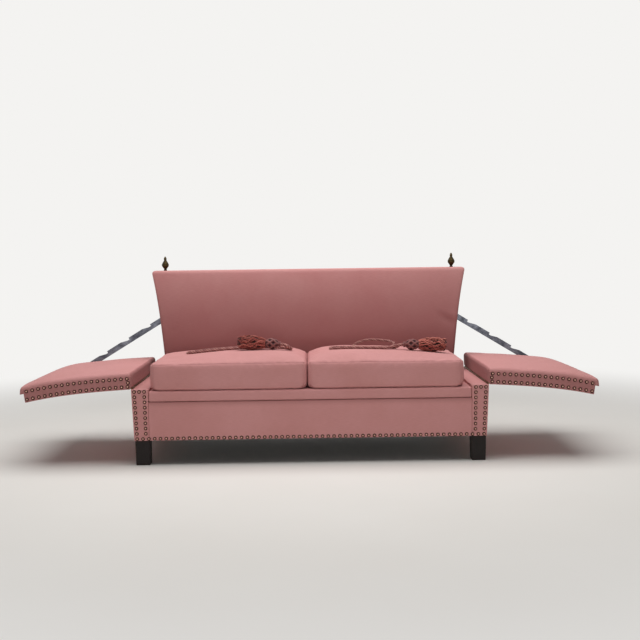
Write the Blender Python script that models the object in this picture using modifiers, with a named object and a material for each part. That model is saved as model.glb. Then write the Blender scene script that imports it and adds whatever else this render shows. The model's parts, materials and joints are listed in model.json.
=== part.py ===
"""Drop-arm sofa: a framed base and back, two arms on ratchet bars, loose cushions and rope ties.

Metres, +Z up. The sofa faces -Y and stands on Z = 0, with the origin under the middle of its box.
"""

import math

import bmesh
import bpy
import numpy as np

# Clearances
FIT = 0.0003  # between faces that touch
RUN = 0.0008  # between pieces that turn or slide on each other

# Base
BASE_WIDTH = 1.600  # across the side covers at the hinge line
BASE_DRAW = 0.010  # how far each side draws in at its bottom edge
BASE_DEPTH = 0.745  # post panels to outside back
FRONT = -0.381  # front face of the post panels
HINGE_HEIGHT = 0.345  # hinge line, and top of the post panels
SEAM_HEIGHT = 0.286  # seam between front panel and front border
DECK_HEIGHT = 0.335  # what the cushions lie on
POST_WIDTH = 0.076
POST_THICK = 0.012
PANEL_THICK = 0.010
PANEL_RECESS = 0.002
BORDER_DEPTH = 0.026
BOARD = 0.028  # thickness of the frame timber
SILL_THICK = 0.024
SIDE_PAD = 0.014  # side cover at the hinge line
SIDE_SKIN = 0.0015  # cover on top of the sill
STRAP = 0.055  # webbing width
STRAP_THICK = 0.002
STRAP_PITCH = 0.140
STRAP_SEAT = 0.012  # webbing on the rear rail
DUST_THICK = 0.002
BORDER_ROUND = 0.010

# Legs
LEG_HEIGHT = 0.113
LEG_SIDE = 0.066
LEG_TAPER = 0.004  # how much narrower the foot is
LEG_SIDE_INSET = 0.002  # from the sides
LEG_END_INSET = 0.012  # from the front and the rear

# Back
BACK_TOP = 0.862
BACK_LINE = 0.440  # height at which the seat-level sizes hold
BACK_INSET = 0.074  # side of the back at seat level, in from the base's side
BACK_FLARE = 0.069  # how much wider each side is at the top
BACK_STRAIGHT = 0.757  # share of the flare that is straight
BACK_THICK_SEAT = 0.195
BACK_THICK_TOP = 0.105
BACK_CROWN = 0.012
BACK_ROUND = 0.018
REAR_COVER = 0.0045
POCKET_THICK = 0.061  # space for the back frame
POCKET_TOP = 0.016  # stuffing over the top rail
POCKET_SIDE = 0.024  # stuffing beside the pocket at its top
BACK_POST = 0.046
RAIL_TALL = 0.055

# Finials
FINIAL_INSET = 0.064  # from the top corner of the back
FINIAL_TALL = 0.072
FINIAL_RADIUS = 0.018
FINIAL_STUD = 0.004
FINIAL_STUD_LONG = 0.030

# Arms, in their raised position
ARM_LENGTH = 0.466
ARM_THICK = 0.075
ARM_SHORT = 0.003  # how much shorter front to back than the base
ARM_LEAN = math.radians(7.5)  # outward lean when raised
ARM_CURL = 0.0263  # outward curl at the end of the arm
ARM_DROP = math.radians(3.3)  # how far the let-down arm hangs below level
ARM_END_RAKE = 0.22
ARM_LIP = 0.020
ARM_CROWN = 0.012
ARM_EDGE = 0.016
ARM_UNDER = 0.004
ARM_FRAME = 0.036
ARM_FRAME_RAIL = 0.060
ARM_BAND = 0.006
ARM_BAND_SHORT = 0.010  # how far the band stays below the pad's face
PEG_RADIUS = 0.006
PEG_LONG = 0.014

# Continuous hinges
KNUCKLE = 0.0040
HINGE_PIN = 0.0018
LEAF_THICK = 0.0015
LEAF_LIFT = 0.0012  # leaf face to hinge line, half the closed gap
LEAF_WIDE = 0.032
HINGE_MARGIN = 0.020  # from the ends of the arm
KNUCKLES = 7

# Ratchet bars
PIVOT_FROM_END = 0.053  # pivot from the end of the arm
PIVOT_DEPTH = 0.028  # pivot from the outer face of the arm
KEEPER_ANGLE = math.radians(119.3)  # keeper seen from the hinge, from the outward level
BAR_TALL = 0.028
BAR_THICK = 0.006
BAR_TAIL = 0.070  # bar past the keeper when the arm is down
NOTCH_PAST = 0.0068  # wall of the last notch past the keeper when the arm is down
NOTCH_PITCH = 0.13165
NOTCH_NEAR = 0.150  # the notches end this far from the pivot
NOTCH_DEEP = 0.010
NOTCH_FLAT = 0.012
NOTCH_RAMP = 0.036
PIVOT_RADIUS = 0.005
PIVOT_HEAD = 0.011
PIVOT_HEAD_THICK = 0.005
PIVOT_SHANK = 0.004
PIVOT_SHANK_LONG = 0.040

# Keepers and pawls
KEEPER_PLATE = 0.003
KEEPER_GAP = 0.0017  # plate to bar
KEEPER_CAP = 0.003
KEEPER_PIN = 0.004
KEEPER_EDGE = 0.012
KEEPER_ARM = 0.006  # half width of the cap over the pins
PAWL_OUT = 0.028  # pawl pivot outboard of the keeper's middle
PAWL_UP = 0.040
PAWL_NOSE = 0.003
PAWL_EYE = 0.009
PAWL_THICK = 0.005
PAWL_TAB = 0.050
PAWL_TAB_ANGLE = math.radians(76)

# Seat cushions
CUSHION_SPARE = 0.039  # room left beside the pair, between the sills
CUSHION_SET_BACK = 0.0045  # from the front of the post panels
CUSHION_EDGE = 0.120  # height of its edge seam
CUSHION_CROWN = 0.038
CUSHION_LEAN = 0.4  # how far the crown's peak lies towards the middle of the sofa, in half widths
CUSHION_GAP = 0.003
CUSHION_SHIFT = -0.013  # the pair lies pushed to one side
CUSHION_BACK_GAP = 0.0005  # to the back
CUSHION_CORNER = 0.030
CUSHION_DRAW = 0.006  # how far the boxing draws in at mid height

# Rope ties
ROPE = 0.011
ROPE_STEP = 0.028  # between points of a tie
ROPE_APART = 0.013  # between the two ends of a tie at its tassel
ROPE_END_GAP = 0.0003  # tie to collar
ROPE_LEAD = 0.010  # straight length out of the collar
ROPE_CLEAR = 0.0003  # tie and tassel to cushion
KNOT_LONG = 0.067
KNOT_WIDE = 0.053
COLLAR = 0.0135
COLLAR_LONG = 0.008
SKIRT_LONG = 0.135
SKIRT_WIDE = 0.075
SKIRT_WIDEST = 0.75  # how far down the skirt it is widest
TASSEL_DEPTH = -0.037  # from the middle of its cushion, front to back
TASSEL_HEAD = {"left": 0.230, "right": 0.099}  # collar face from the middle of its cushion

# Route of each tie from one end at its tassel to the other: X and Y from the middle of its cushion,
# and height above lying on it
ROPE_ROUTE = {
    "left": [
        (0.270, -0.033, 0.010),
        (0.280, -0.0085, 0.003),
        (0.270, 0.016, 0),
        (0.245, 0.0265, 0),
        (0.150, 0.028, 0),
        (0.040, 0.026, 0.002),
        (-0.060, 0.027, 0.003),
        (-0.140, 0.031, 0.002),
        (-0.188, 0.0305, 0),
        (-0.205, 0.0235, 0),
        (-0.212, 0.0065, 0),
        (-0.205, -0.0105, 0),
        (-0.188, -0.0175, 0),
        (-0.140, -0.013, 0),
        (-0.100, -0.006, 0),
        (-0.040, 0.006, 0),
        (0.030, 0.0125, 0),
        (0.120, 0.0135, 0),
        (0.200, 0.0135, 0),
        (0.240, 0.0135, 0.002),
        (0.2606, 0.0071, 0.006),
        (0.267, -0.0085, 0.012),
        (0.2606, -0.0241, 0.017),
    ],
    "right": [
        (0.060, -0.046, 0.012),
        (0.010, -0.056, 0),
        (-0.070, -0.060, 0),
        (-0.150, -0.058, 0),
        (-0.2215, -0.052, 0),
        (-0.2385, -0.045, 0),
        (-0.2455, -0.028, 0),
        (-0.2385, -0.011, 0),
        (-0.2215, -0.004, 0),
        (-0.190, -0.010, 0),
        (-0.150, -0.028, 0),
        (-0.100, -0.040, 0),
        (-0.040, -0.042, 0),
        (0.000, -0.039, 0),
        (0.030, -0.036, 0.002),
        (0.050, -0.028, 0.008),
        (0.058, -0.008, 0.018),
        (0.050, 0.012, 0.024),
        (0.030, 0.020, 0.027),
        (-0.020, 0.026, 0.030),
        (-0.070, 0.026, 0.028),
        (-0.100, 0.0235, 0.020),
        (-0.112, 0.022, 0.016),
        (-0.129, 0.015, 0.006),
        (-0.135, -0.001, 0),
        (-0.129, -0.017, 0),
        (-0.112, -0.0235, 0),
        (-0.060, -0.0245, 0),
        (0.000, -0.016, 0),
        (0.035, -0.010, 0),
        (0.060, -0.0155, 0),
        (0.078, -0.0265, 0.011),
    ],
}


def arm_outer(z):
    """Outward place of the arm's outer face at a height above the hinge, arm raised."""
    return math.tan(ARM_LEAN) * z + ARM_CURL * (z / ARM_LENGTH) ** 3


def arm_point(z, depth):
    """A point of the raised arm at a height and a depth in from its outer face."""
    slope = math.tan(ARM_LEAN) + 3 * ARM_CURL * z**2 / ARM_LENGTH**3
    return arm_outer(z) - depth * math.hypot(1.0, slope), z


# Places that follow from the sizes above
REAR = FRONT + BASE_DEPTH
HALF = BASE_WIDTH / 2
COVER_FRONT = REAR - REAR_COVER
FRAME_REAR = COVER_FRONT - FIT
FRAME_FRONT = FRONT + POST_THICK + FIT
SILL_INNER = HALF - POST_WIDTH
SILL_TOP = HINGE_HEIGHT - LEAF_LIFT - LEAF_THICK - SIDE_SKIN - 2 * FIT
FRAME_OUTER = HALF - SIDE_PAD - FIT
BASE_BOTTOM = LEG_HEIGHT + FIT
ARM_SWING = math.pi / 2 - ARM_LEAN + ARM_DROP
ARM_DEPTH = BASE_DEPTH - ARM_SHORT
ARM_REAR = FRONT + ARM_DEPTH
POCKET_FRONT = FRAME_REAR - POCKET_THICK
BAR_FRONT = REAR + FIT + KEEPER_PLATE + KEEPER_GAP
BAR_REAR = BAR_FRONT + BAR_THICK
WEB_TOP = SEAM_HEIGHT + STRAP_THICK
LEG_OUTER = HALF - BASE_DRAW - LEG_SIDE_INSET
BACK_BOTTOM = DECK_HEIGHT + FIT
BACK_HALF_SEAT = HALF - BACK_INSET
BACK_HALF_TOP = BACK_HALF_SEAT + BACK_FLARE
FINIAL_X = BACK_HALF_TOP - FINIAL_INSET
FINIAL_Y = POCKET_FRONT + (FRAME_REAR - POCKET_FRONT) / 2
CUSHION_LOW = DECK_HEIGHT + FIT
CUSHION_WIDE = (2 * SILL_INNER - CUSHION_GAP - CUSHION_SPARE) / 2
CUSHION_REAR = REAR - BACK_THICK_SEAT - CUSHION_BACK_GAP
CUSHION_DEPTH = CUSHION_REAR - FRONT - CUSHION_SET_BACK
CUSHION_Y = CUSHION_REAR - CUSHION_DEPTH / 2
PIVOT_ALONG = ARM_LENGTH - PIVOT_FROM_END  # pivot above the hinge, arm raised
PIVOT_OUT = arm_point(PIVOT_ALONG, PIVOT_DEPTH)[0]
LINK = math.hypot(PIVOT_OUT, PIVOT_ALONG)  # hinge to pivot, and hinge to keeper
PIVOT_REST = math.atan2(PIVOT_ALONG, PIVOT_OUT) - ARM_SWING
BAR_REST = math.pi / 2 - (KEEPER_ANGLE + PIVOT_REST) / 2  # slope of the bar, arm let down
BAR_MEAN = BAR_REST - ARM_SWING / 4
BAR_OUT = 2 * LINK * math.sin((KEEPER_ANGLE - PIVOT_REST) / 2)  # pivot to keeper, arm let down
NOTCH_LAST = BAR_OUT + NOTCH_PAST
NOTCHES = int((NOTCH_LAST - NOTCH_FLAT - NOTCH_RAMP - NOTCH_NEAR) / NOTCH_PITCH) + 1
NOTCH_FIRST = NOTCH_LAST - (NOTCHES - 1) * NOTCH_PITCH
GUIDE_DOWN = (BAR_TALL / 2 + KEEPER_PIN + RUN) / math.cos(ARM_SWING / 4)
NOSE_UP = (BAR_TALL / 2 + PAWL_NOSE + FIT) / math.cos(ARM_SWING / 4)
SIDES = (("left", -1), ("right", 1))

for old in list(bpy.data.objects):
    bpy.data.objects.remove(old)
PARTS = bpy.data.collections.new("drop_arm_sofa")
CUTTERS = bpy.data.collections.new("cutters")
for made_collection in (PARTS, CUTTERS):
    bpy.context.scene.collection.children.link(made_collection)


def finish(name, colour, roughness, metallic=0.0):
    """A plain material from an sRGB colour written as six hex digits."""
    made = bpy.data.materials.new(name)
    made.use_nodes = True
    shader = made.node_tree.nodes["Principled BSDF"]
    channels = [int(colour[i : i + 2], 16) / 255 for i in (0, 2, 4)]
    linear = [c / 12.92 if c <= 0.04045 else ((c + 0.055) / 1.055) ** 2.4 for c in channels]
    shader.inputs["Base Color"].default_value = (*linear, 1.0)
    shader.inputs["Roughness"].default_value = roughness
    shader.inputs["Metallic"].default_value = metallic
    return made


CLOTH = finish("salmon_cloth", "c58380", 0.8)
BEECH = finish("beech", "b98d5f", 0.6)
STAINED = finish("dark_stained_wood", "2a1d1a", 0.5)
JUTE = finish("jute_webbing", "a58a60", 0.9)
CAMBRIC = finish("black_cambric", "26242a", 0.95)
BRASS = finish("antique_brass", "6f5f36", 0.45, 1.0)
STEEL = finish("dark_steel", "4b5058", 0.5, 1.0)
HINGE_STEEL = finish("hinge_steel", "8a8578", 0.4, 1.0)
ROPE_YARN = finish("rope_yarn", "b98078", 0.9)
BULLION = finish("bullion_yarn", "8e4538", 0.9)


def place(name, data, surface, parent=None, location=(0.0, 0.0, 0.0), tip=0.0):
    """Adds a named piece, tipped about X, under its parent."""
    made = bpy.data.objects.new(name, data)
    PARTS.objects.link(made)
    data.materials.append(surface)
    made.parent = parent
    made.location = location
    made.rotation_euler.x = tip
    return made


def pivot(name, location, turn, parent=None):
    """An empty on a joint's axis, which runs along Y, turned about it."""
    made = bpy.data.objects.new(name, None)
    PARTS.objects.link(made)
    made.parent = parent
    made.location = location
    made.rotation_euler.y = turn
    return made


def mesh_from(name, shape):
    """Stores a bmesh as a mesh with its faces outward."""
    bmesh.ops.recalc_face_normals(shape, faces=shape.faces)
    mesh = bpy.data.meshes.new(name)
    shape.to_mesh(mesh)
    shape.free()
    return mesh


def box(name, corner, opposite, surface, parent=None, round_edge=0.0):
    """A box between two opposite corners, with rounded edges if asked."""
    low = np.minimum(corner, opposite)
    high = np.maximum(corner, opposite)
    shape = bmesh.new()
    bmesh.ops.create_cube(shape, size=1.0)
    bmesh.ops.scale(shape, vec=high - low, verts=shape.verts)
    made = place(name, mesh_from(name, shape), surface, parent, (low + high) / 2)
    if round_edge:
        bevel = made.modifiers.new("round", "BEVEL")
        bevel.width = round_edge
        bevel.segments = 2
    return made


def outline(name, loops, near, far, surface, parent=None, flat=False):
    """A flat outline with its holes after it: in X and Z from Y near to Y far or, lying flat, in X and Y."""
    curve = bpy.data.curves.new(name, "CURVE")
    curve.dimensions = "2D"
    curve.fill_mode = "BOTH"
    curve.extrude = (far - near) / 2
    for loop in loops:
        spline = curve.splines.new("POLY")
        spline.points.add(len(loop) - 1)
        spline.points.foreach_set("co", [v for x, z in loop for v in (x, z, 0.0, 1.0)])
        spline.use_cyclic_u = True
    middle = (near + far) / 2
    if flat:
        return place(name, curve, surface, parent, (0, 0, middle))
    return place(name, curve, surface, parent, (0, middle, 0), math.pi / 2)


def arc(centre, radius, start, end, count):
    """Points along an arc in X and Z."""
    angles = np.linspace(start, end, count)
    return [(centre[0] + radius * math.cos(a), centre[1] + radius * math.sin(a)) for a in angles]


def circle(centre, radius, sides):
    """Points round a centre in X and Z."""
    return arc(centre, radius, 0.0, 2 * math.pi * (1 - 1 / sides), sides)


def solid(made):
    """The same piece as a mesh with welded caps, ready for a Boolean."""
    graph = bpy.context.evaluated_depsgraph_get()
    shape = bmesh.new()
    shape.from_mesh(bpy.data.meshes.new_from_object(made.evaluated_get(graph)))
    bmesh.ops.remove_doubles(shape, verts=shape.verts, dist=1e-6)
    name = made.name
    surface = made.data.materials[0]
    parent, location, tip = made.parent, made.location.copy(), made.rotation_euler.x
    bpy.data.objects.remove(made)
    return place(name, mesh_from(name, shape), surface, parent, location, tip)


def combine(made, other, operation):
    """Joins or cuts a piece with a helper, which leaves the parts."""
    modifier = made.modifiers.new(operation.lower(), "BOOLEAN")
    modifier.operation = operation
    modifier.object = other
    other.hide_render = True
    other.display_type = "WIRE"
    PARTS.objects.unlink(other)
    CUTTERS.objects.link(other)


def turned(name, profile, surface, parent=None, location=(0.0, 0.0, 0.0), tip=0.0, steps=16):
    """A turned piece on its own Z axis; the profile (radius, height) runs top to bottom."""
    mesh = bpy.data.meshes.new(name)
    points = [(r, 0.0, z) for r, z in profile]
    mesh.from_pydata(points, [(i, i + 1) for i in range(len(points) - 1)], [])
    made = place(name, mesh, surface, parent, location, tip)
    screw = made.modifiers.new("turn", "SCREW")
    screw.steps = steps
    screw.render_steps = steps
    screw.use_merge_vertices = True
    screw.merge_threshold = 0.00005
    return made


def rod(name, radius, near, far, surface, parent=None, location=(0.0, 0.0), steps=16):
    """A round rod along Y between two depths."""
    long = far - near
    profile = [(0.0, long), (radius, long), (radius, 0.0), (0.0, 0.0)]
    return turned(name, profile, surface, parent, (location[0], far, location[1]), math.pi / 2, steps)


def loft(name, rings, surface, parent=None):
    """A closed skin over rings of points, flat on its first and last ring."""
    rings = np.asarray(rings)
    count, around = rings.shape[:2]
    index = np.arange(count * around).reshape(count, around)
    after = np.roll(index, -1, axis=1)
    sides = np.stack([index[:-1], after[:-1], after[1:], index[1:]], axis=-1).reshape(-1, 4)
    mesh = bpy.data.meshes.new(name)
    caps = [index[0].tolist(), index[-1].tolist()]
    mesh.from_pydata(rings.reshape(-1, 3).tolist(), [], sides.tolist() + caps)
    shape = bmesh.new()
    shape.from_mesh(mesh)
    made = place(name, mesh_from(name, shape), surface, parent)
    made.data.shade_smooth()
    made.data.set_sharp_from_angle(angle=math.radians(40))
    return made


def rounded_rectangle(half_x, half_y, radius, per_side, per_corner):
    """Points round a rectangle with rounded corners, anticlockwise from its front left corner."""
    points = []
    for corner, (sx, sy) in enumerate(((-1, -1), (1, -1), (1, 1), (-1, 1))):
        start = math.pi * (1 + corner / 2)
        centre = (sx * (half_x - radius), sy * (half_y - radius))
        points += arc(centre, radius, start, start + math.pi / 2, per_corner + 1)
    full = []
    for i, start in enumerate(points):
        full.append(start)
        if i % (per_corner + 1) == per_corner:
            end = points[(i + 1) % len(points)]
            for step in range(1, per_side):
                share = step / per_side
                full.append((start[0] + share * (end[0] - start[0]), start[1] + share * (end[1] - start[1])))
    return np.array(full)


def rectangle(low, high):
    """Corners of an upright rectangle."""
    return [(low[0], low[1]), (high[0], low[1]), (high[0], high[1]), (low[0], high[1])]


def webbing(name, low, high, near, far, flat):
    """A mat of crossing straps between two corners, as one outline with its gaps as holes."""
    loops = [rectangle(low, high)]
    size = np.subtract(high, low) - STRAP
    counts = np.maximum(1, np.round(size / STRAP_PITCH)).astype(int)
    pitch = size / counts
    for column in range(counts[0]):
        for row in range(counts[1]):
            corner = np.add(low, STRAP + pitch * (column, row))
            loops.append(rectangle(corner, corner + pitch - STRAP))
    outline(name, loops, near, far, JUTE, flat=flat)


def base():
    """Rails, legs, covers, webbing and deck."""
    rail_half = FRAME_OUTER - BOARD - FIT
    rail_face = FRONT + PANEL_RECESS + PANEL_THICK + FIT
    rail_top = SEAM_HEIGHT - FIT
    rear_face = FRAME_REAR - BOARD
    box("front_rail", (-rail_half, rail_face, BASE_BOTTOM), (rail_half, rail_face + BOARD, rail_top), BEECH)
    box("rear_rail", (-rail_half, rear_face, BASE_BOTTOM), (rail_half, FRAME_REAR, rail_top), BEECH)
    stretcher_low = (-BOARD / 2, rail_face + BOARD + FIT, BASE_BOTTOM)
    box("centre_stretcher", stretcher_low, (BOARD / 2, rear_face - FIT, rail_top), BEECH)
    for side_name, side in SIDES:
        side_frame(side_name, side)
        side_cover(side_name, side)
        leg(f"leg_front_{side_name}", side, FRONT + LEG_END_INSET)
        leg(f"leg_rear_{side_name}", side, REAR - LEG_END_INSET - LEG_SIDE)
    half = SILL_INNER - FIT
    face = FRONT + PANEL_RECESS
    border_rear = FRONT + BORDER_DEPTH
    box("front_panel", (-half, face, LEG_HEIGHT), (half, face + PANEL_THICK, rail_top), CLOTH)
    border_high = (half, border_rear, DECK_HEIGHT)
    box("front_border", (-half, face, SEAM_HEIGHT), border_high, CLOTH, round_edge=BORDER_ROUND)
    web_low = (-rail_half, border_rear + FIT)
    web_high = (rail_half, rear_face + STRAP_SEAT)
    webbing("seat_webbing", web_low, web_high, SEAM_HEIGHT, WEB_TOP, True)
    deck_low = (-half, border_rear + FIT, WEB_TOP + FIT)
    box("seat_deck", deck_low, (half, POCKET_FRONT - FIT, DECK_HEIGHT), CLOTH)
    dust_half = LEG_OUTER - LEG_SIDE - FIT
    dust_low = (-dust_half, face + PANEL_THICK + FIT, LEG_HEIGHT - DUST_THICK)
    box("dust_cover", dust_low, (dust_half, COVER_FRONT - FIT, LEG_HEIGHT), CAMBRIC)


def side_frame(side_name, side):
    """Outer board and sill of one side, as one L-shaped frame."""
    outer = side * FRAME_OUTER
    inner = side * (FRAME_OUTER - BOARD)
    sill = side * (SILL_INNER + FIT)
    sill_under = SILL_TOP - SILL_THICK
    loop = [
        (outer, BASE_BOTTOM),
        (outer, SILL_TOP),
        (sill, SILL_TOP),
        (sill, sill_under),
        (inner, sill_under),
        (inner, BASE_BOTTOM),
    ]
    outline(f"side_frame_{side_name}", [loop], FRAME_FRONT, FRAME_REAR, BEECH)


def side_cover(side_name, side):
    """Padded outer side with a thin skin over the sill, and the nailed post panel in front of both."""
    skin_low = SILL_TOP + FIT
    skin_top = skin_low + SIDE_SKIN
    wall = side * (HALF - SIDE_PAD)
    foot = (side * (HALF - BASE_DRAW), LEG_HEIGHT)
    inner = side * SILL_INNER
    loop = [
        (wall, LEG_HEIGHT),
        foot,
        (side * HALF, skin_low - KNUCKLE),
        (side * (HALF - KNUCKLE), skin_top),
        (inner, skin_top),
        (inner, skin_low),
        (wall, skin_low),
    ]
    outline(f"side_cover_{side_name}", [loop], FRAME_FRONT, COVER_FRONT - FIT, CLOTH)
    post = [
        (inner, LEG_HEIGHT),
        foot,
        (side * HALF, HINGE_HEIGHT - 2 * KNUCKLE),
        (side * (HALF - 2 * KNUCKLE), HINGE_HEIGHT),
        (inner, HINGE_HEIGHT),
    ]
    outline(f"post_panel_{side_name}", [post], FRONT, FRONT + POST_THICK, CLOTH)


def leg(name, side, start):
    """A square leg that tapers a little to its foot."""
    shape = bmesh.new()
    bmesh.ops.create_cube(shape, size=1.0)
    bmesh.ops.scale(shape, vec=(LEG_SIDE, LEG_SIDE, LEG_HEIGHT), verts=shape.verts)
    share = 1 - LEG_TAPER / LEG_SIDE
    bmesh.ops.scale(shape, vec=(share, share, 1), verts=[v for v in shape.verts if v.co.z < 0])
    centre = (side * (LEG_OUTER - LEG_SIDE / 2), start + LEG_SIDE / 2, LEG_HEIGHT / 2)
    place(name, mesh_from(name, shape), STAINED, None, centre)


def back_half(z):
    """Half width of the back at a height: mostly straight, flaring more towards the top."""
    rise = (z - BACK_LINE) / (BACK_TOP - BACK_LINE)
    share = BACK_STRAIGHT * rise + (1 - BACK_STRAIGHT) * rise**3
    return BACK_HALF_SEAT + (BACK_HALF_TOP - BACK_HALF_SEAT) * share


def back_thick(z):
    """Thickness of the back at a height."""
    rise = max(0.0, (z - BACK_LINE) / (BACK_TOP - BACK_LINE))
    return BACK_THICK_SEAT + (BACK_THICK_TOP - BACK_THICK_SEAT) * rise


def back_ring(z, inset):
    """Plan of the back pad at a height, drawn in by an inset, with its front face crowned."""
    half = back_half(z) - inset
    thick = back_thick(z) - REAR_COVER - FIT
    ring = rounded_rectangle(half, (thick - inset) / 2, BACK_ROUND, 10, 3)
    ring[:, 1] += FRAME_REAR - (thick - inset) / 2
    middle = (BACK_BOTTOM + BACK_TOP) / 2
    rise = abs(z - middle) / (BACK_TOP - middle)
    fall = 1 - (1 - np.abs(ring[:, 0] / half) ** 3) * (1 - rise**3)
    ring[:, 1] += BACK_CROWN * fall * (FRAME_REAR - ring[:, 1]) / thick
    return np.column_stack([ring, np.full(len(ring), z)])


def back():
    """Posts, struts, rails, webbing, pad, outside cover and finials."""
    frame_low = WEB_TOP + FIT
    frame_top = BACK_TOP - POCKET_TOP - FIT
    front = POCKET_FRONT + STRAP_THICK + 2 * FIT
    post_foot = back_half(frame_low) - POCKET_SIDE - BACK_POST / 2
    for side_name, side in SIDES:
        back_post(side_name, side, post_foot, frame_low, frame_top, front)
    rail_low = BACK_BOTTOM + FIT
    top_low = frame_top - RAIL_TALL
    lean = (FINIAL_X - post_foot) / (frame_top - frame_low)
    for rail_name, z in (("back_bottom_rail", rail_low), ("back_top_rail", top_low)):
        low_half = post_foot + lean * (z - frame_low) - BACK_POST / 2 - 2 * FIT
        high_half = low_half + lean * RAIL_TALL
        loop = [(-low_half, z), (low_half, z), (high_half, z + RAIL_TALL), (-high_half, z + RAIL_TALL)]
        outline(rail_name, [loop], front, FRAME_REAR, BEECH)
    keeper_x = HALF + LINK * math.cos(KEEPER_ANGLE)
    for side_name, side in SIDES:
        low = (side * (keeper_x - BACK_POST / 2), front, rail_low + RAIL_TALL + FIT)
        high = (side * (keeper_x + BACK_POST / 2), FRAME_REAR, top_low - FIT)
        box(f"back_strut_{side_name}", low, high, BEECH)
    web_near = POCKET_FRONT + FIT
    web_far = web_near + STRAP_THICK
    webbing("back_webbing", (-post_foot, rail_low), (post_foot, frame_top), web_near, web_far, False)
    back_pad(frame_low, frame_top)
    outside_back()
    for side_name, side in SIDES:
        finial(side_name, side)


def back_post(side_name, side, foot, low, top, front):
    """A post of the back frame, leaning outward to carry the finial."""
    half = BACK_POST / 2
    loop = [
        (side * (foot - half), low),
        (side * (foot + half), low),
        (side * (FINIAL_X + half), top),
        (side * (FINIAL_X - half), top),
    ]
    post = solid(outline(f"back_post_{side_name}", [loop], front, FRAME_REAR, BEECH))
    combine(post, stud_hole(f"post_hole_{side_name}", side), "DIFFERENCE")


def stud_hole(name, side):
    """Cutter for a finial's stud."""
    radius = FINIAL_STUD + FIT
    low = BACK_TOP - FINIAL_STUD_LONG - FIT
    profile = [(0.0, BACK_TOP + BACK_ROUND), (radius, BACK_TOP + BACK_ROUND), (radius, low), (0.0, low)]
    return turned(name, profile, STEEL, None, (side * FINIAL_X, FINIAL_Y, 0.0), steps=12)


def back_pad(frame_low, frame_top):
    """Upholstered front, sides and top of the back, with a pocket for the frame."""
    heights = [*np.linspace(BACK_BOTTOM, BACK_TOP - BACK_ROUND, 9)]
    rings = [back_ring(z, 0.0) for z in heights]
    for angle in (30, 60, 90):
        rise = math.sin(math.radians(angle))
        inset = BACK_ROUND * (1 - math.cos(math.radians(angle)))
        rings.append(back_ring(BACK_TOP - BACK_ROUND * (1 - rise), inset))
    pad = loft("back_pad", rings, CLOTH)
    below = back_half(frame_low) - POCKET_SIDE + FIT
    above = FINIAL_X + BACK_POST / 2 + FIT
    loop = [(-below, frame_low), (below, frame_low), (above, frame_top + FIT), (-above, frame_top + FIT)]
    pocket = solid(outline("back_pocket", [loop], POCKET_FRONT, REAR, CLOTH))
    combine(pad, pocket, "DIFFERENCE")
    for side_name, side in SIDES:
        combine(pad, stud_hole(f"pad_hole_{side_name}", side), "DIFFERENCE")


def outside_back():
    """Cover over the rear of base and back."""
    skin_top = SILL_TOP + FIT + SIDE_SKIN
    right = [(HALF - BASE_DRAW, LEG_HEIGHT), (HALF, skin_top - 2 * KNUCKLE), (HALF - 2 * KNUCKLE, skin_top)]
    right += [(back_half(z), z) for z in np.linspace(skin_top, BACK_TOP - BACK_ROUND, 9)]
    corner = back_half(BACK_TOP) - BACK_ROUND
    right += arc((corner, BACK_TOP - BACK_ROUND), BACK_ROUND, math.pi / 6, math.pi / 2, 3)
    left = [(-x, z) for x, z in reversed(right)]
    outline("back_rear_cover", [right + left], COVER_FRONT, REAR, CLOTH)


def finial(side_name, side):
    """Turned urn with a pointed tip, on a stud."""
    r = FINIAL_RADIUS
    tall = FINIAL_TALL
    shape = [(0.0, 1.0), (0.16, 0.93), (0.50, 0.80), (0.55, 0.74), (0.42, 0.70), (0.86, 0.60), (1.0, 0.48)]
    shape += [(0.90, 0.36), (0.55, 0.24), (0.32, 0.16), (0.36, 0.11), (0.62, 0.08), (0.62, 0.0)]
    profile = [(r * share, BACK_TOP + FIT + tall * height) for share, height in shape]
    stud_low = BACK_TOP - FINIAL_STUD_LONG
    profile += [(FINIAL_STUD, BACK_TOP + FIT), (FINIAL_STUD, stud_low), (0.0, stud_low)]
    turned(f"finial_{side_name}", profile, BRASS, None, (side * FINIAL_X, FINIAL_Y, 0.0), steps=16)


def arm_slab(side, outer, inner, low, long):
    """Outline of a layer of the arm between two depths, with a raked outer end."""
    loop = [arm_point(z, outer) for z in np.linspace(low, long + ARM_END_RAKE * outer, 9)]
    loop += [arm_point(z, inner) for z in np.linspace(long + ARM_END_RAKE * inner, low, 9)]
    return [(side * x, z) for x, z in loop]


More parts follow.
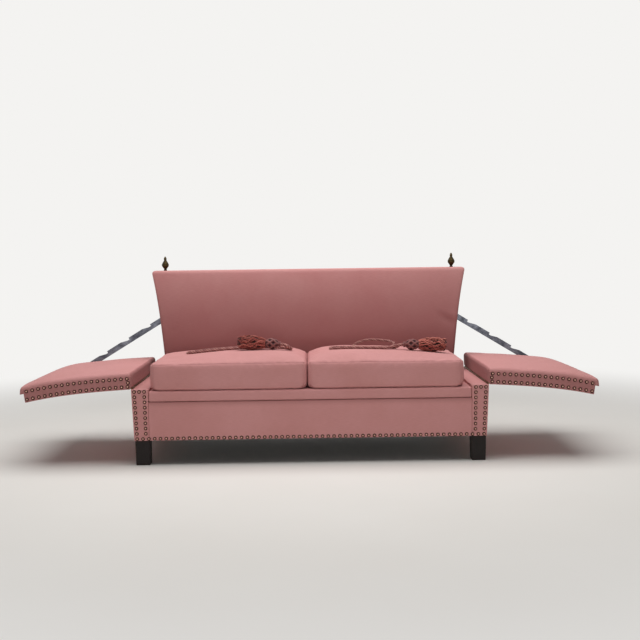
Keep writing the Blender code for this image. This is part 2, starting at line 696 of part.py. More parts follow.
def arm(side_name, side):
    """One arm, modelled raised in its hinge's frame and turned down about it."""
    hinge = pivot(f"arm_hinge_{side_name}", (side * HALF, 0.0, HINGE_HEIGHT), side * ARM_SWING)
    near = FRONT + ARM_BAND + FIT
    low = LEAF_LIFT + LEAF_THICK + FIT
    frame_out = ARM_UNDER + FIT
    frame_in = frame_out + ARM_FRAME
    clear = KNUCKLE + RUN
    under = arm_slab(side, 0.0, ARM_UNDER, clear, ARM_LENGTH)
    outline(f"arm_under_cover_{side_name}", [under], near, ARM_REAR, CLOTH, hinge)
    slab = arm_slab(side, frame_out, frame_in, low, ARM_LENGTH)
    frame = solid(outline(f"arm_frame_{side_name}", [slab], near, ARM_REAR, BEECH, hinge))
    window_low = (-side * HALF, near + ARM_FRAME_RAIL, low + ARM_FRAME_RAIL)
    window_high = (side * HALF, ARM_REAR - ARM_FRAME_RAIL, ARM_LENGTH - ARM_FRAME_RAIL)
    combine(frame, box(f"arm_window_{side_name}", window_low, window_high, BEECH, hinge), "DIFFERENCE")
    band = arm_slab(side, 0.0, ARM_THICK - ARM_BAND_SHORT, clear, ARM_LENGTH)
    outline(f"arm_band_{side_name}", [band], FRONT, FRONT + ARM_BAND, CLOTH, hinge)
    pad = arm_pad(side_name, side, hinge, frame_in + FIT, low, near)
    arm_peg(side_name, side, hinge, pad)
    hinge_leaves(side_name, side, hinge)
    ratchet(side_name, side, hinge, frame)


def arm_pad(side_name, side, hinge, back_depth, low, near):
    """Crowned pad with rounded edges and a lip past the end of the frame."""
    tip = ARM_LENGTH + ARM_END_RAKE * back_depth + ARM_LIP
    stations = np.array([-1.0, -0.985, -0.95, -0.86, -0.5, 0.0, 0.5, 0.86, 0.95, 0.985, 1.0])
    rings = []
    for station in stations:
        edge = ARM_EDGE * max(0.0, (abs(station) - 0.95) / 0.05) ** 2
        crown = ARM_CROWN * (1 - abs(station) ** 4)
        ring = []
        for share in np.linspace(0.0, 1.0, 10):
            ring.append(arm_point(low + share * (tip - ARM_EDGE - low), back_depth))
        lip = (ARM_THICK - back_depth) / 2
        for angle in np.radians((-60, -25, 10, 45)):
            depth = back_depth + lip * (1 + math.sin(angle))
            ring.append(arm_point(tip - ARM_EDGE + ARM_EDGE * math.cos(angle), depth))
        for share in np.linspace(1.0, 0.0, 10):
            swell = crown * (1 - abs(2 * share - 1) ** 3)
            ring.append(arm_point(low + share * (tip - ARM_EDGE - low), ARM_THICK - edge + swell))
        depth_y = near + (station + 1) / 2 * (ARM_REAR - near)
        rings.append([(side * x, depth_y, z) for x, z in ring])
    return loft(f"arm_pad_{side_name}", rings, CLOTH, hinge)


def arm_peg(side_name, side, hinge, pad):
    """Stud on the outer edge of the arm that takes the rope tie, screwed into the lip."""
    tip = ARM_LENGTH + ARM_END_RAKE * (ARM_UNDER + ARM_FRAME) + ARM_LIP
    x = arm_point(tip, (ARM_UNDER + ARM_FRAME + ARM_THICK) / 2)[0]
    shank = PEG_RADIUS / 2
    place_at = (side * x, (FRONT + ARM_REAR) / 2, tip)
    shape = [(0.0, 1.0), (0.6, 1.0), (1.0, 0.8), (1.0, 0.55), (0.6, 0.4)]
    profile = [(PEG_RADIUS * share, PEG_LONG * height) for share, height in shape]
    profile += [(0.6 * PEG_RADIUS, FIT), (shank, FIT), (shank, -ARM_LIP), (0.0, -ARM_LIP)]
    turned(f"arm_peg_{side_name}", profile, STAINED, hinge, place_at, steps=12)
    hole = [(0.0, PEG_LONG), (shank + FIT, PEG_LONG), (shank + FIT, -ARM_LIP - FIT), (0.0, -ARM_LIP - FIT)]
    combine(pad, turned(f"peg_hole_{side_name}", hole, STAINED, hinge, place_at, steps=12), "DIFFERENCE")


def hinge_leaves(side_name, side, hinge):
    """Continuous hinge: one leaf on the sill, one on the arm's end, and the pin through their knuckles."""
    near = FRONT + HINGE_MARGIN
    far = ARM_REAR - HINGE_MARGIN
    lands = np.linspace(near, far, KNUCKLES + 1)
    face = LEAF_LIFT + LEAF_THICK
    leaves = (("base", -1, (side * HALF, HINGE_HEIGHT), None), ("arm", 1, (0.0, 0.0), hinge))
    for index, (leaf_name, up, (x, z), parent) in enumerate(leaves):
        start = x - side * (KNUCKLE + RUN)
        plate_low = (start, near, z + up * LEAF_LIFT)
        plate_high = (start - side * LEAF_WIDE, far, z + up * face)
        leaf = box(f"hinge_{leaf_name}_leaf_{side_name}", plate_low, plate_high, HINGE_STEEL, parent)
        for knuckle in range(index, KNUCKLES, 2):
            eye_near, eye_far = lands[knuckle] + RUN / 2, lands[knuckle + 1] - RUN / 2
            key = f"{leaf_name}_{side_name}_{knuckle}"
            loops = [knuckle_outline(side, up, x, z), circle((x, z), HINGE_PIN + FIT, 8)]
            eye = solid(outline(f"knuckle_{key}", loops, eye_near, eye_far, HINGE_STEEL, parent))
            combine(leaf, eye, "UNION")
    rod(f"hinge_pin_{side_name}", HINGE_PIN, near, far, HINGE_STEEL, None, (side * HALF, HINGE_HEIGHT), 8)


def knuckle_outline(side, up, x, z):
    """Round eye of a hinge knuckle with a tail onto its leaf."""
    low = math.asin(LEAF_LIFT / KNUCKLE)
    high = math.asin((LEAF_LIFT + LEAF_THICK) / KNUCKLE)
    loop = arc((0.0, 0.0), KNUCKLE, math.pi - low, 3 * math.pi - high, 13)
    reach = KNUCKLE + RUN + LEAF_THICK
    loop += [(-reach, LEAF_LIFT + LEAF_THICK), (-reach, LEAF_LIFT)]
    return [(x + side * px, z + up * pz) for px, pz in loop]


def ratchet(side_name, side, hinge, frame):
    """Notched bar on its pivot at the arm's rear edge, with its keeper and pawl behind the back."""
    bar_turn = BAR_REST - ARM_SWING
    centre = (side * PIVOT_OUT, 0.0, PIVOT_ALONG)
    bar_pivot = pivot(f"bar_hinge_{side_name}", centre, side * bar_turn, hinge)
    half = BAR_TALL / 2
    end = BAR_OUT + BAR_TAIL
    loop = arc((0.0, 0.0), half, 3 * math.pi / 2, math.pi / 2, 7)
    for notch in range(NOTCHES):
        wall = NOTCH_FIRST + notch * NOTCH_PITCH
        floor = half - NOTCH_DEEP
        foot = wall - NOTCH_FLAT
        loop += [(foot - NOTCH_RAMP, half), (foot, floor), (wall, floor), (wall, half)]
    loop += [(end, half), (end, -half)]
    bar = [(-side * s, n) for s, n in loop]
    eye = circle((0.0, 0.0), PIVOT_RADIUS + FIT, 12)
    outline(f"ratchet_bar_{side_name}", [bar, eye], BAR_FRONT, BAR_REAR, STEEL, bar_pivot)
    head_rear = BAR_REAR + RUN + PIVOT_HEAD_THICK
    shank_end = ARM_REAR - PIVOT_SHANK_LONG
    steps = (
        (PIVOT_HEAD, head_rear, BAR_REAR + RUN),
        (PIVOT_RADIUS, BAR_REAR + RUN, BAR_FRONT - FIT),
        (PIVOT_HEAD, BAR_FRONT - FIT, ARM_REAR + FIT),
        (PIVOT_SHANK, ARM_REAR + FIT, shank_end),
    )
    profile = [(0.0, -head_rear)]
    for radius, rear, near in steps:
        profile += [(radius, -rear), (radius, -near)]
    profile = [(r, -y) for r, y in profile] + [(0.0, shank_end)]
    turned(f"bar_pivot_{side_name}", profile, STEEL, hinge, centre, -math.pi / 2, 12)
    spot = (side * PIVOT_OUT, PIVOT_ALONG)
    bore = PIVOT_SHANK + FIT
    hole = rod(f"pivot_hole_{side_name}", bore, shank_end - FIT, ARM_REAR + RUN, STEEL, hinge, spot, 12)
    combine(frame, hole, "DIFFERENCE")
    keeper(side_name, side)


def keeper(side_name, side):
    """Plate on the rear of the back with a guide pin under the bar, the pawl's pin over it and a cap."""
    x = side * (HALF + LINK * math.cos(KEEPER_ANGLE))
    z = HINGE_HEIGHT + LINK * math.sin(KEEPER_ANGLE)
    frame = pivot(f"keeper_frame_{side_name}", (x, 0.0, z), side * BAR_MEAN)
    plate_near = REAR + FIT
    plate_far = plate_near + KEEPER_PLATE
    cap_near = BAR_REAR + RUN
    cap_far = cap_near + KEEPER_CAP
    guide = (0.0, -GUIDE_DOWN)
    post = (side * PAWL_OUT, PAWL_UP)
    reach = KEEPER_PIN + KEEPER_EDGE
    wide = side * (PAWL_OUT + reach)
    plate = [
        (-side * reach, -GUIDE_DOWN - reach),
        (side * reach, -GUIDE_DOWN - reach),
        (wide, PAWL_UP - reach),
        (wide, PAWL_UP + reach),
        (-side * reach, PAWL_UP + reach),
    ]
    body = solid(outline(f"keeper_{side_name}", [plate], plate_near, plate_far, STEEL, frame))
    cap = [
        (-side * KEEPER_ARM, -GUIDE_DOWN - KEEPER_ARM),
        (side * KEEPER_ARM, -GUIDE_DOWN - KEEPER_ARM),
        (side * (PAWL_OUT + KEEPER_ARM), PAWL_UP - KEEPER_ARM),
        (side * (PAWL_OUT + KEEPER_ARM), PAWL_UP + KEEPER_ARM),
        (side * (PAWL_OUT - KEEPER_ARM), PAWL_UP + KEEPER_ARM),
    ]
    cap_piece = solid(outline(f"keeper_cap_{side_name}", [cap], cap_near, cap_far, STEEL, frame))
    for pin_name, spot in (("guide", guide), ("post", post)):
        pin_key = f"keeper_{pin_name}_{side_name}"
        pin = rod(pin_key, KEEPER_PIN, plate_near + FIT, cap_far - FIT, STEEL, frame, spot, 12)
        combine(body, pin, "UNION")
    combine(body, cap_piece, "UNION")
    pawl(side_name, side, frame, post)


def pawl(side_name, side, frame, post):
    """Catch that rides on the bar's upper edge, with a tab to lift it by."""
    swing = pivot(f"pawl_hinge_{side_name}", (post[0], 0.0, post[1]), 0.0, frame)
    nose = (-PAWL_OUT, NOSE_UP - PAWL_UP)
    upper = math.atan2(nose[1], nose[0]) + 3 * math.pi / 2
    lower = upper + math.pi
    tab = 2 * math.pi + PAWL_TAB_ANGLE
    spread = math.asin(PAWL_NOSE / PAWL_EYE)
    loop = arc(nose, PAWL_NOSE, upper, lower, 5)
    loop += arc((0.0, 0.0), PAWL_EYE, lower, tab - spread, 5)
    tab_top = (PAWL_TAB * math.cos(tab), PAWL_TAB * math.sin(tab))
    loop += arc(tab_top, PAWL_NOSE, tab - math.pi / 2, tab + math.pi / 2, 4)
    loop += arc((0.0, 0.0), PAWL_EYE, tab + spread, upper + 2 * math.pi, 3)
    body = [(side * x, z) for x, z in loop]
    near = BAR_FRONT + (BAR_THICK - PAWL_THICK) / 2
    eye = circle((0.0, 0.0), KEEPER_PIN + FIT, 12)
    outline(f"pawl_{side_name}", [body, eye], near, near + PAWL_THICK, STEEL, swing)


def cushion_middle(side):
    """Middle of a seat cushion in X."""
    return CUSHION_SHIFT + side * (CUSHION_WIDE + CUSHION_GAP) / 2


def cushion_top(x, y, side):
    """Height of a cushion's crowned top."""
    s = np.clip(side * (cushion_middle(side) - x) / (CUSHION_WIDE / 2), -1, 1)
    s = np.abs(s - CUSHION_LEAN) / (1 - CUSHION_LEAN * s)
    t = np.clip(np.abs(y - CUSHION_Y) / (CUSHION_DEPTH / 2), 0, 1)
    swell = (1 - s**2.2) ** 0.75 * (1 - t**2.4) ** 0.6
    return CUSHION_LOW + CUSHION_EDGE + CUSHION_CROWN * swell


def cushion(side_name, side):
    """Box cushion with a crowned top and a boxing that draws in between its seams."""
    half_x = CUSHION_WIDE / 2
    half_y = CUSHION_DEPTH / 2
    plan = rounded_rectangle(half_x, half_y, CUSHION_CORNER, 8, 3)
    rings = []
    for rise, inset in ((0.0, 2.0), (0.07, 0.6), (0.2, 0.0), (0.5, 1.0), (0.85, 0.0), (1.0, 0.4)):
        ring = plan * (1 - inset * CUSHION_DRAW / np.array([half_x, half_y]))
        rings.append(np.column_stack([ring, np.full(len(ring), rise * CUSHION_EDGE)]))
    for share in (0.97, 0.92, 0.82, 0.64, 0.4, 0.15):
        ring = plan * share
        x = ring[:, 0] + cushion_middle(side)
        top = cushion_top(x, ring[:, 1] + CUSHION_Y, side) - CUSHION_LOW
        rings.append(np.column_stack([ring, top]))
    rings = np.array(rings) + (cushion_middle(side), CUSHION_Y, CUSHION_LOW)
    loft(f"seat_cushion_{side_name}", rings, CLOTH)


def tassel(side_name, side):
    """Knotted head with a collar and a bullion skirt, lying on its cushion; returns its collar and lean."""
    neck = COLLAR_LONG + KNOT_LONG
    knot = KNOT_WIDE / 2
    skirt = SKIRT_WIDE / 2
    knot_at = COLLAR_LONG + KNOT_LONG / 2
    skirt_at = neck + SKIRT_WIDEST * SKIRT_LONG
    shape = [(0.0, 1.0), (0.8, 1.0), (1.0, SKIRT_WIDEST), (0.92, 0.45), (0.68, 0.12), (0.55, 0.0)]
    profile = [(skirt * share, neck + SKIRT_LONG * along) for share, along in shape]
    for angle in np.radians((30, 60, 90, 120, 150)):
        profile.append((knot * math.sin(angle), knot_at + KNOT_LONG / 2 * math.cos(angle)))
    profile += [(COLLAR, COLLAR_LONG), (COLLAR, 0.0), (0.0, 0.0)]
    x = cushion_middle(side) + TASSEL_HEAD[side_name]
    y = CUSHION_Y + TASSEL_DEPTH
    radii, along = np.array(profile).T
    axis = cushion_top(x + side * along, y, side) + radii
    under_skirt, under_knot = np.interp((skirt_at, knot_at), along[::-1], axis[::-1])
    rise = (under_skirt - under_knot) / (skirt_at - knot_at)
    lean = math.atan(rise)
    head = np.array((x, y, (axis - rise * along).max() + ROPE_CLEAR))
    frame = pivot(f"tassel_frame_{side_name}", head, side * (math.pi / 2 - lean))
    turned(f"tassel_{side_name}", profile, BULLION, frame, steps=16)
    return head, lean


def smooth(points, step):
    """Evenly spaced points on a smooth curve through the given ones."""
    points = np.vstack([2 * points[0] - points[1], points, 2 * points[-1] - points[-2]])
    share = np.linspace(0, 1, 40, endpoint=False)[:, None]
    runs = []
    for a, b, c, d in zip(points, points[1:], points[2:], points[3:]):
        bend = (2 * a - 5 * b + 4 * c - d) * share**2 + (3 * b - a - 3 * c + d) * share**3
        runs.append(b + (c - a) * share / 2 + bend / 2)
    fine = np.vstack([*runs, points[-2]])
    along = np.concatenate([[0], np.cumsum(np.linalg.norm(np.diff(fine, axis=0), axis=1))])
    even = np.linspace(0, along[-1], round(along[-1] / step) + 1)
    return np.column_stack([np.interp(even, along, fine[:, axis]) for axis in range(3)])


def rope(side_name, side):
    """A tie that leaves its tassel, loops over the cushion and comes back to it."""
    head, lean = tassel(side_name, side)
    out = np.array((-side * math.cos(lean), 0.0, -math.sin(lean)))
    route = np.array(ROPE_ROUTE[side_name]) + (cushion_middle(side), CUSHION_Y, ROPE / 2 + ROPE_CLEAR)
    route[:, 2] += cushion_top(route[:, 0], route[:, 1], side)
    ends = head + out * ROPE_END_GAP + np.outer((-1, 1), (0.0, ROPE_APART / 2, 0.0))
    leads = ends + out * ROPE_LEAD
    points = smooth(np.vstack([leads[0], route, leads[1]]), ROPE_STEP)
    points = np.vstack([ends[0], points, ends[1]])
    lying = cushion_top(points[:, 0], points[:, 1], side) + ROPE / 2 + ROPE_CLEAR
    points[:, 2] = np.maximum(points[:, 2], lying)
    curve = bpy.data.curves.new(f"rope_{side_name}", "CURVE")
    curve.dimensions = "3D"
    curve.bevel_depth = ROPE / 2
    curve.bevel_resolution = 2
    curve.use_fill_caps = True
    spline = curve.splines.new("POLY")
    spline.points.add(len(points) - 1)
    spline.points.foreach_set("co", np.column_stack([points, np.ones(len(points))]).ravel())
    place(f"rope_{side_name}", curve, ROPE_YARN)


base()
back()
for each_name, each_side in SIDES:
    arm(each_name, each_side)
    cushion(each_name, each_side)
    rope(each_name, each_side)
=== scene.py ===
"""Looks of a drop-arm sofa with ratchet bars, box cushions and rope ties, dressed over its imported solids.

Metres, Z up, the seat facing -Y. The arms are let down, as at rest.
"""

from __future__ import annotations

import json
import logging
import math
from dataclasses import dataclass, field
from enum import Enum
from typing import Any, Sequence

import bpy
import numpy as np
from mathutils import Matrix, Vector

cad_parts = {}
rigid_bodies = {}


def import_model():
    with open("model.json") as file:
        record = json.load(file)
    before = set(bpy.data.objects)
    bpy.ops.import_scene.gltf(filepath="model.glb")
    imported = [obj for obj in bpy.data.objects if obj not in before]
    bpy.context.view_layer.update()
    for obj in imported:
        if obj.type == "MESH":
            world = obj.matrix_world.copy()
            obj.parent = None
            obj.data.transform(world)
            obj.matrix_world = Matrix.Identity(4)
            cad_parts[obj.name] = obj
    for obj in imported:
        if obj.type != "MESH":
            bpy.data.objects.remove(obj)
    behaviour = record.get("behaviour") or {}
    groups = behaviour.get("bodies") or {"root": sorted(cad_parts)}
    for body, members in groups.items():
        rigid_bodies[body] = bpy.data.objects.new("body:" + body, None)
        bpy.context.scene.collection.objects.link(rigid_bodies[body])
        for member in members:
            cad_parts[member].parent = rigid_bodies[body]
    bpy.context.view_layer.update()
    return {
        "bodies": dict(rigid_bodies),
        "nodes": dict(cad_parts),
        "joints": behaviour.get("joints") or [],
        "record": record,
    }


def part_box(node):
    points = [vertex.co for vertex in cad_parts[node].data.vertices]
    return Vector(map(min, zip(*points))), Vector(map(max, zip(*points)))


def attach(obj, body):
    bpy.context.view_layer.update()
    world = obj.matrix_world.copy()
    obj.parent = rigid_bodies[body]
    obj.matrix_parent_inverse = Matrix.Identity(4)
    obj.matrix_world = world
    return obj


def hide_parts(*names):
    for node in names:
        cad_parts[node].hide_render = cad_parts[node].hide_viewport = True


LOG = logging.getLogger("drop_arm_sofa")
Array = np.ndarray
Cuts = Sequence[int | Array]
Point = tuple[float, float, float]
Socket = bpy.types.NodeSocket
Tree = bpy.types.NodeTree


class Side(Enum):
    """Which end of the sofa, seen from the front; the value is the sign of X."""

    LEFT = -1
    RIGHT = 1

    @property
    def label(self) -> str:
        """The side's name in node and body names."""
        return self.name.lower()

    def span(self, inner: float, outer: float) -> list[float]:
        """Two distances from the middle as places in X on this side, the lower one first."""
        return sorted((self.value * inner, self.value * outer))


class Slot(Enum):
    """The record's material slots."""

    CLOTH = "salmon_cloth"
    BEECH = "beech"
    STAINED = "stained_wood"
    JUTE = "jute_webbing"
    CAMBRIC = "black_cambric"
    BRASS = "antique_brass"
    STEEL = "dark_steel"
    HINGE = "hinge_steel"
    ROPE = "rope_yarn"
    BULLION = "bullion_yarn"


class Grain(Enum):
    """Axis that a timber's grain runs along."""

    X = "X"
    Y = "Y"
    Z = "Z"


# Finishes


# A wave texture's scale times the distance between its bands
WAVE = 0.314


def linear(colour: str) -> tuple[float, float, float, float]:
    """Turns an sRGB colour into linear light.

    Args:
        colour: six hex digits, red, green and blue.

    Returns:
        Linear red, green, blue and an alpha of one.
    """
    channels = [int(colour[i : i + 2], 16) / 255 for i in (0, 2, 4)]
    red, green, blue = (c / 12.92 if c <= 0.04045 else ((c + 0.055) / 1.055) ** 2.4 for c in channels)
    return red, green, blue, 1.0


def feed(tree: Tree, node: bpy.types.Node, inputs: dict[Any, Any]) -> None:
    """Sets or links a node's inputs.

    Args:
        tree: the material's or world's node tree.
        node: the node.
        inputs: input name or number to a value, or to the socket that feeds it.
    """
    for key, value in inputs.items():
        if isinstance(value, Socket):
            tree.links.new(value, node.inputs[key])
        else:
            node.inputs[key].default_value = value


def add(tree: Tree, kind: str, inputs: dict[Any, Any], **settings: Any) -> bpy.types.Node:
    """Adds a node, sets it and links it.

    Args:
        tree: the material's or world's node tree.
        kind: the node's type name.
        inputs: input name or number to a value, or to the socket that feeds it.
        settings: the node's own properties.

    Returns:
        The new node.
    """
    made = tree.nodes.new(kind)
    for key, value in settings.items():
        setattr(made, key, value)
    feed(tree, made, inputs)
    return made


def crossing(tree: Tree, cloth: Socket, thread: float, wander: float) -> Socket:
    """A plain weave: bands of warp times bands of weft.

    Args:
        tree: the material's node tree.
        cloth: the piece's own UV map, in metres.
        thread: distance between threads.
        wander: how unevenly they run.

    Returns:
        The weave's height, one where two threads cross.
    """
    threads = {0: cloth, 1: WAVE / thread, 2: wander}
    warp, weft = (add(tree, "ShaderNodeTexWave", threads, bands_direction=way).outputs[1] for way in "XY")
    return add(tree, "ShaderNodeMath", {0: warp, 1: weft}, operation="MULTIPLY").outputs[0]


@dataclass
class Recipe:
    """What a finish is mixed from: a ground colour, coats over it by their masks, and the shader's inputs."""

    ground: str
    coats: list[tuple[Socket, str]]
    inputs: dict[str, Any]


@dataclass(frozen=True)
class Finish:
    """A finish of the sofa: its common name and the record's slot that it belongs to."""

    name: str
    slot: Slot

    def material(self) -> bpy.types.Material:
        """Makes the finish's material, or finds it where it is made already.

        Returns:
            The material, its coats of colour laid over each other.
        """
        found = bpy.data.materials.get(self.name)
        if found:
            return found
        made = bpy.data.materials.new(self.name)
        made.use_nodes = True
        tree = made.node_tree
        recipe = self.mixed(tree)
        colour = linear(recipe.ground)
        for mask, coat in recipe.coats:
            laid = {0: mask, 6: colour, 7: linear(coat)}
            colour = add(tree, "ShaderNodeMix", laid, data_type="RGBA").outputs[2]
        feed(tree, tree.nodes["Principled BSDF"], {"Base Color": colour, **recipe.inputs})
        return made

    def mixed(self, tree: Tree) -> Recipe:
        """Makes the finish's patterns.

        Args:
            tree: the material's node tree.

        Returns:
            What the finish is mixed from.
        """
        raise NotImplementedError


@dataclass(frozen=True)
class ClothFinish(Finish):
    """Plain-woven furnishing cloth, faded in blotches, paler on its edges, and darker in its seams and where
    shade is painted.
    """

    base: str
    faded: str
    deep: str
    thread: float = 0.0022
    blotch: float = 0.22

    def mixed(self, tree: Tree) -> Recipe:
        """A dull cotton face, so a broad soft light and a faint pale bloom at its edges.

        The real threads are 0.5 mm apart, too fine to show, so the weave is drawn at 2.2 mm.

        Args:
            tree: the material's node tree.

        Returns:
            What the finish is mixed from.
        """
        place = add(tree, "ShaderNodeTexCoord", {}).outputs
        weave = crossing(tree, place["UV"], self.thread, 0.8)
        # Slubs: thick places in the weft, about 1.5 mm by 25 mm
        laid = add(tree, "ShaderNodeMapping", {"Vector": place["UV"], "Scale": (40.0, 660.0, 1.0)})
        slub = add(tree, "ShaderNodeTexNoise", {"Vector": laid.outputs[0], "Scale": 1.0, "Detail": 2.0})
        streak = add(tree, "ShaderNodeMapRange", {0: slub.outputs[0], 1: 0.3, 2: 0.7, 3: 0.0, 4: 0.16})
        cloud = {"Vector": place["Object"], "Scale": 1 / self.blotch, "Detail": 4.0, "Roughness": 0.55}
        blotches = add(tree, "ShaderNodeTexNoise", cloud).outputs[0]
        shade = add(tree, "ShaderNodeMapRange", {0: blotches, 1: 0.36, 2: 0.66, 3: 0.0, 4: 1.0})
        rough = add(tree, "ShaderNodeMapRange", {0: blotches, 1: 0.3, 2: 0.7, 3: 0.7, 4: 0.86})
        wear = add(tree, "ShaderNodeAttribute", {}, attribute_name="wear")
        # The deep coat: dark seams, and painted shade low on the back, in its creases and on the arms' ends
        # and fronts
        seam = add(tree, "ShaderNodeAttribute", {}, attribute_name="seam")
        # Rucks, about 60 mm apart, where the cloth isn't pulled quite tight
        ruck = add(tree, "ShaderNodeTexNoise", {"Vector": place["Object"], "Scale": 16.0, "Detail": 3.0})
        rucked = add(tree, "ShaderNodeBump", {"Strength": 0.16, "Distance": 0.006, "Height": ruck.outputs[0]})
        raised = {"Strength": 0.3, "Distance": 0.0005, "Height": weave, "Normal": rucked.outputs[0]}
        coats = [
            (shade.outputs[0], self.faded),
            (streak.outputs[0], self.deep),
            (wear.outputs["Fac"], self.faded),
            (seam.outputs["Fac"], self.deep),
        ]
        inputs = {
            "Roughness": rough.outputs[0],
            "Normal": add(tree, "ShaderNodeBump", raised).outputs[0],
            "Sheen Weight": 0.05,
            "Sheen Roughness": 0.45,
            "Specular IOR Level": 0.2,
        }
        return Recipe(self.base, coats, inputs)


@dataclass(frozen=True)
class WoodFinish(Finish):
    """Planed timber with its grain along one axis."""

    light: str
    dark: str
    worn: str
    grain: Grain
    ring: float
    roughness: float

    def mixed(self, tree: Tree) -> Recipe:
        """Growth rings drawn out along the grain, short pores about 1 mm wide, and edges rubbed paler.

        Args:
            tree: the material's node tree.

        Returns:
            What the finish is mixed from.
        """
        place = add(tree, "ShaderNodeTexCoord", {}).outputs
        stretch = [0.06 if axis is self.grain else 1.0 for axis in Grain]
        turned = add(tree, "ShaderNodeMapping", {"Vector": place["Object"], "Scale": stretch}).outputs[0]
        bands = {0: turned, 1: WAVE / self.ring, 2: 5.0, 3: 3.0, 4: 1.4}
        way = "Y" if self.grain is Grain.X else "X"
        rings = add(tree, "ShaderNodeTexWave", bands, bands_direction=way)
        pores = add(tree, "ShaderNodeTexNoise", {"Vector": turned, "Scale": 900.0, "Detail": 3.0}).outputs[0]
        pored = add(tree, "ShaderNodeMapRange", {0: pores, 1: 0.5, 2: 0.72, 3: 0.0, 4: 0.55})
        wear = add(tree, "ShaderNodeAttribute", {}, attribute_name="wear")
        raised = add(tree, "ShaderNodeBump", {"Strength": 0.2, "Distance": 0.0006, "Height": pores})
        low, high = self.roughness - 0.08, self.roughness + 0.12
        rough = add(tree, "ShaderNodeMapRange", {0: pores, 1: 0.3, 2: 0.7, 3: low, 4: high})
        coats = [
            (rings.outputs[1], self.light),
            (pored.outputs[0], self.dark),
            (wear.outputs["Fac"], self.worn),
        ]
        inputs = {
            "Roughness": rough.outputs[0],
            "Normal": raised.outputs[0],
            "Specular IOR Level": 0.25,
        }
        return Recipe(self.dark, coats, inputs)


@dataclass(frozen=True)
class MetalFinish(Finish):
    """Old metal with a patina in patches, bright places where it is rubbed, and painted highlights."""

    bright: str
    patina: str
    rubbed: str
    patch: float
    roughness: float
    dent: float = 0.0004

    def mixed(self, tree: Tree) -> Recipe:
        """A dulled metal face, mottled, with shallow dents and paler places: rubbing and painted highlights.

        Args:
            tree: the material's node tree.

        Returns:
            What the finish is mixed from.
        """
        place = add(tree, "ShaderNodeTexCoord", {}).outputs["Object"]
        cloud = {"Vector": place, "Scale": 1 / self.patch, "Detail": 5.0, "Roughness": 0.62}
        patches = add(tree, "ShaderNodeTexNoise", cloud).outputs[0]
        spread = add(tree, "ShaderNodeMapRange", {0: patches, 1: 0.38, 2: 0.64, 3: 0.0, 4: 1.0})
        # Painted highlight on the nails' crowns; painted highlight and rubbing on the finials' bulb and bead
        wear = add(tree, "ShaderNodeAttribute", {}, attribute_name="wear")
        fine = add(tree, "ShaderNodeTexNoise", {"Vector": place, "Scale": 4 / self.patch, "Detail": 3.0})
        dents = {"Strength": 0.35, "Distance": self.dent, "Height": fine.outputs[0]}
        low, high = self.roughness + 0.16, self.roughness - 0.06
        rough = add(tree, "ShaderNodeMapRange", {0: patches, 1: 0.3, 2: 0.7, 3: low, 4: high})
        coats = [(spread.outputs[0], self.bright), (wear.outputs["Fac"], self.rubbed)]
        inputs = {
            "Roughness": rough.outputs[0],
            "Normal": add(tree, "ShaderNodeBump", dents).outputs[0],
            "Metallic": 1.0,
        }
        return Recipe(self.patina, coats, inputs)


@dataclass(frozen=True)
class YarnFinish(Finish):
    """Spun yarn: soft fibres, each ply its own tone, with painted shade and painted highlights from the mesh.
    """

    light: str
    base: str
    deep: str
    fibre: float = 0.0012

    def mixed(self, tree: Tree) -> Recipe:
        """A matt fuzzy face with short fibre flecks, and a paler coat and a coat of painted shade from the
        mesh.

        Args:
            tree: the material's node tree.

        Returns:
            What the finish is mixed from.
        """
        place = add(tree, "ShaderNodeTexCoord", {}).outputs["Object"]
        # The paler coat: a tone per ply, and a painted highlight on the knot's plaits. The deep coat: painted
        # shade
        ply = add(tree, "ShaderNodeAttribute", {}, attribute_name="wear")
        crevice_shade = add(tree, "ShaderNodeAttribute", {}, attribute_name="seam")
        fibres = {"Vector": place, "Scale": 1 / self.fibre, "Detail": 3.0}
        fleck = add(tree, "ShaderNodeTexNoise", fibres).outputs[0]
        flecked = add(tree, "ShaderNodeMapRange", {0: fleck, 1: 0.45, 2: 0.7, 3: 0.0, 4: 0.35})
        fuzzy = add(tree, "ShaderNodeBump", {"Strength": 0.5, "Distance": 0.0004, "Height": fleck})
        rough = add(tree, "ShaderNodeMapRange", {0: fleck, 1: 0.3, 2: 0.7, 3: 0.72, 4: 0.92})
        coats = [
            (ply.outputs["Fac"], self.light),
            (flecked.outputs[0], self.deep),
            (crevice_shade.outputs["Fac"], self.deep),
        ]
        inputs = {
            "Roughness": rough.outputs[0],
            "Normal": fuzzy.outputs[0],
            "Sheen Weight": 0.2,
            "Specular IOR Level": 0.25,
        }
        return Recipe(self.base, coats, inputs)


@dataclass(frozen=True)
class StrapFinish(Finish):
    """Coarse woven strap or lining, its threads crossing at a pitch."""

    light: str
    dark: str
    thread: float

    def mixed(self, tree: Tree) -> Recipe:
        """A dry matt weave, each thread rounded by the bump.

        Args:
            tree: the material's node tree.

        Returns:
            What the finish is mixed from.
        """
        place = add(tree, "ShaderNodeTexCoord", {}).outputs
        weave = crossing(tree, place["UV"], self.thread, 1.2)
        raised = add(tree, "ShaderNodeBump", {"Strength": 0.6, "Distance": 0.0006, "Height": weave})
        rough = add(tree, "ShaderNodeMapRange", {0: weave, 1: 0.0, 2: 1.0, 3: 0.96, 4: 0.82})
        inputs = {"Roughness": rough.outputs[0], "Normal": raised.outputs[0]}
        return Recipe(self.dark, [(weave, self.light)], inputs)


# Woven cotton that daylight has faded: matt, with soft shading and paler edges
CLOTH = ClothFinish("faded salmon cotton", Slot.CLOTH, "c78b88", "cd9290", "8e5755")
# The same cotton, a shaded copy for the back: deeper in painted shade low down and in its creases
SHADED_BACK_CLOTH = ClothFinish("shaded salmon cotton", Slot.CLOTH, "c88987", "cf9592", "7d4745")
# Stained hardwood, rubbed down: nearly black, browner on its arrises
STAINED = WoodFinish("dark stained wood", Slot.STAINED, "1d1310", "0a0605", "3a2820", Grain.Z, 0.006, 0.6)
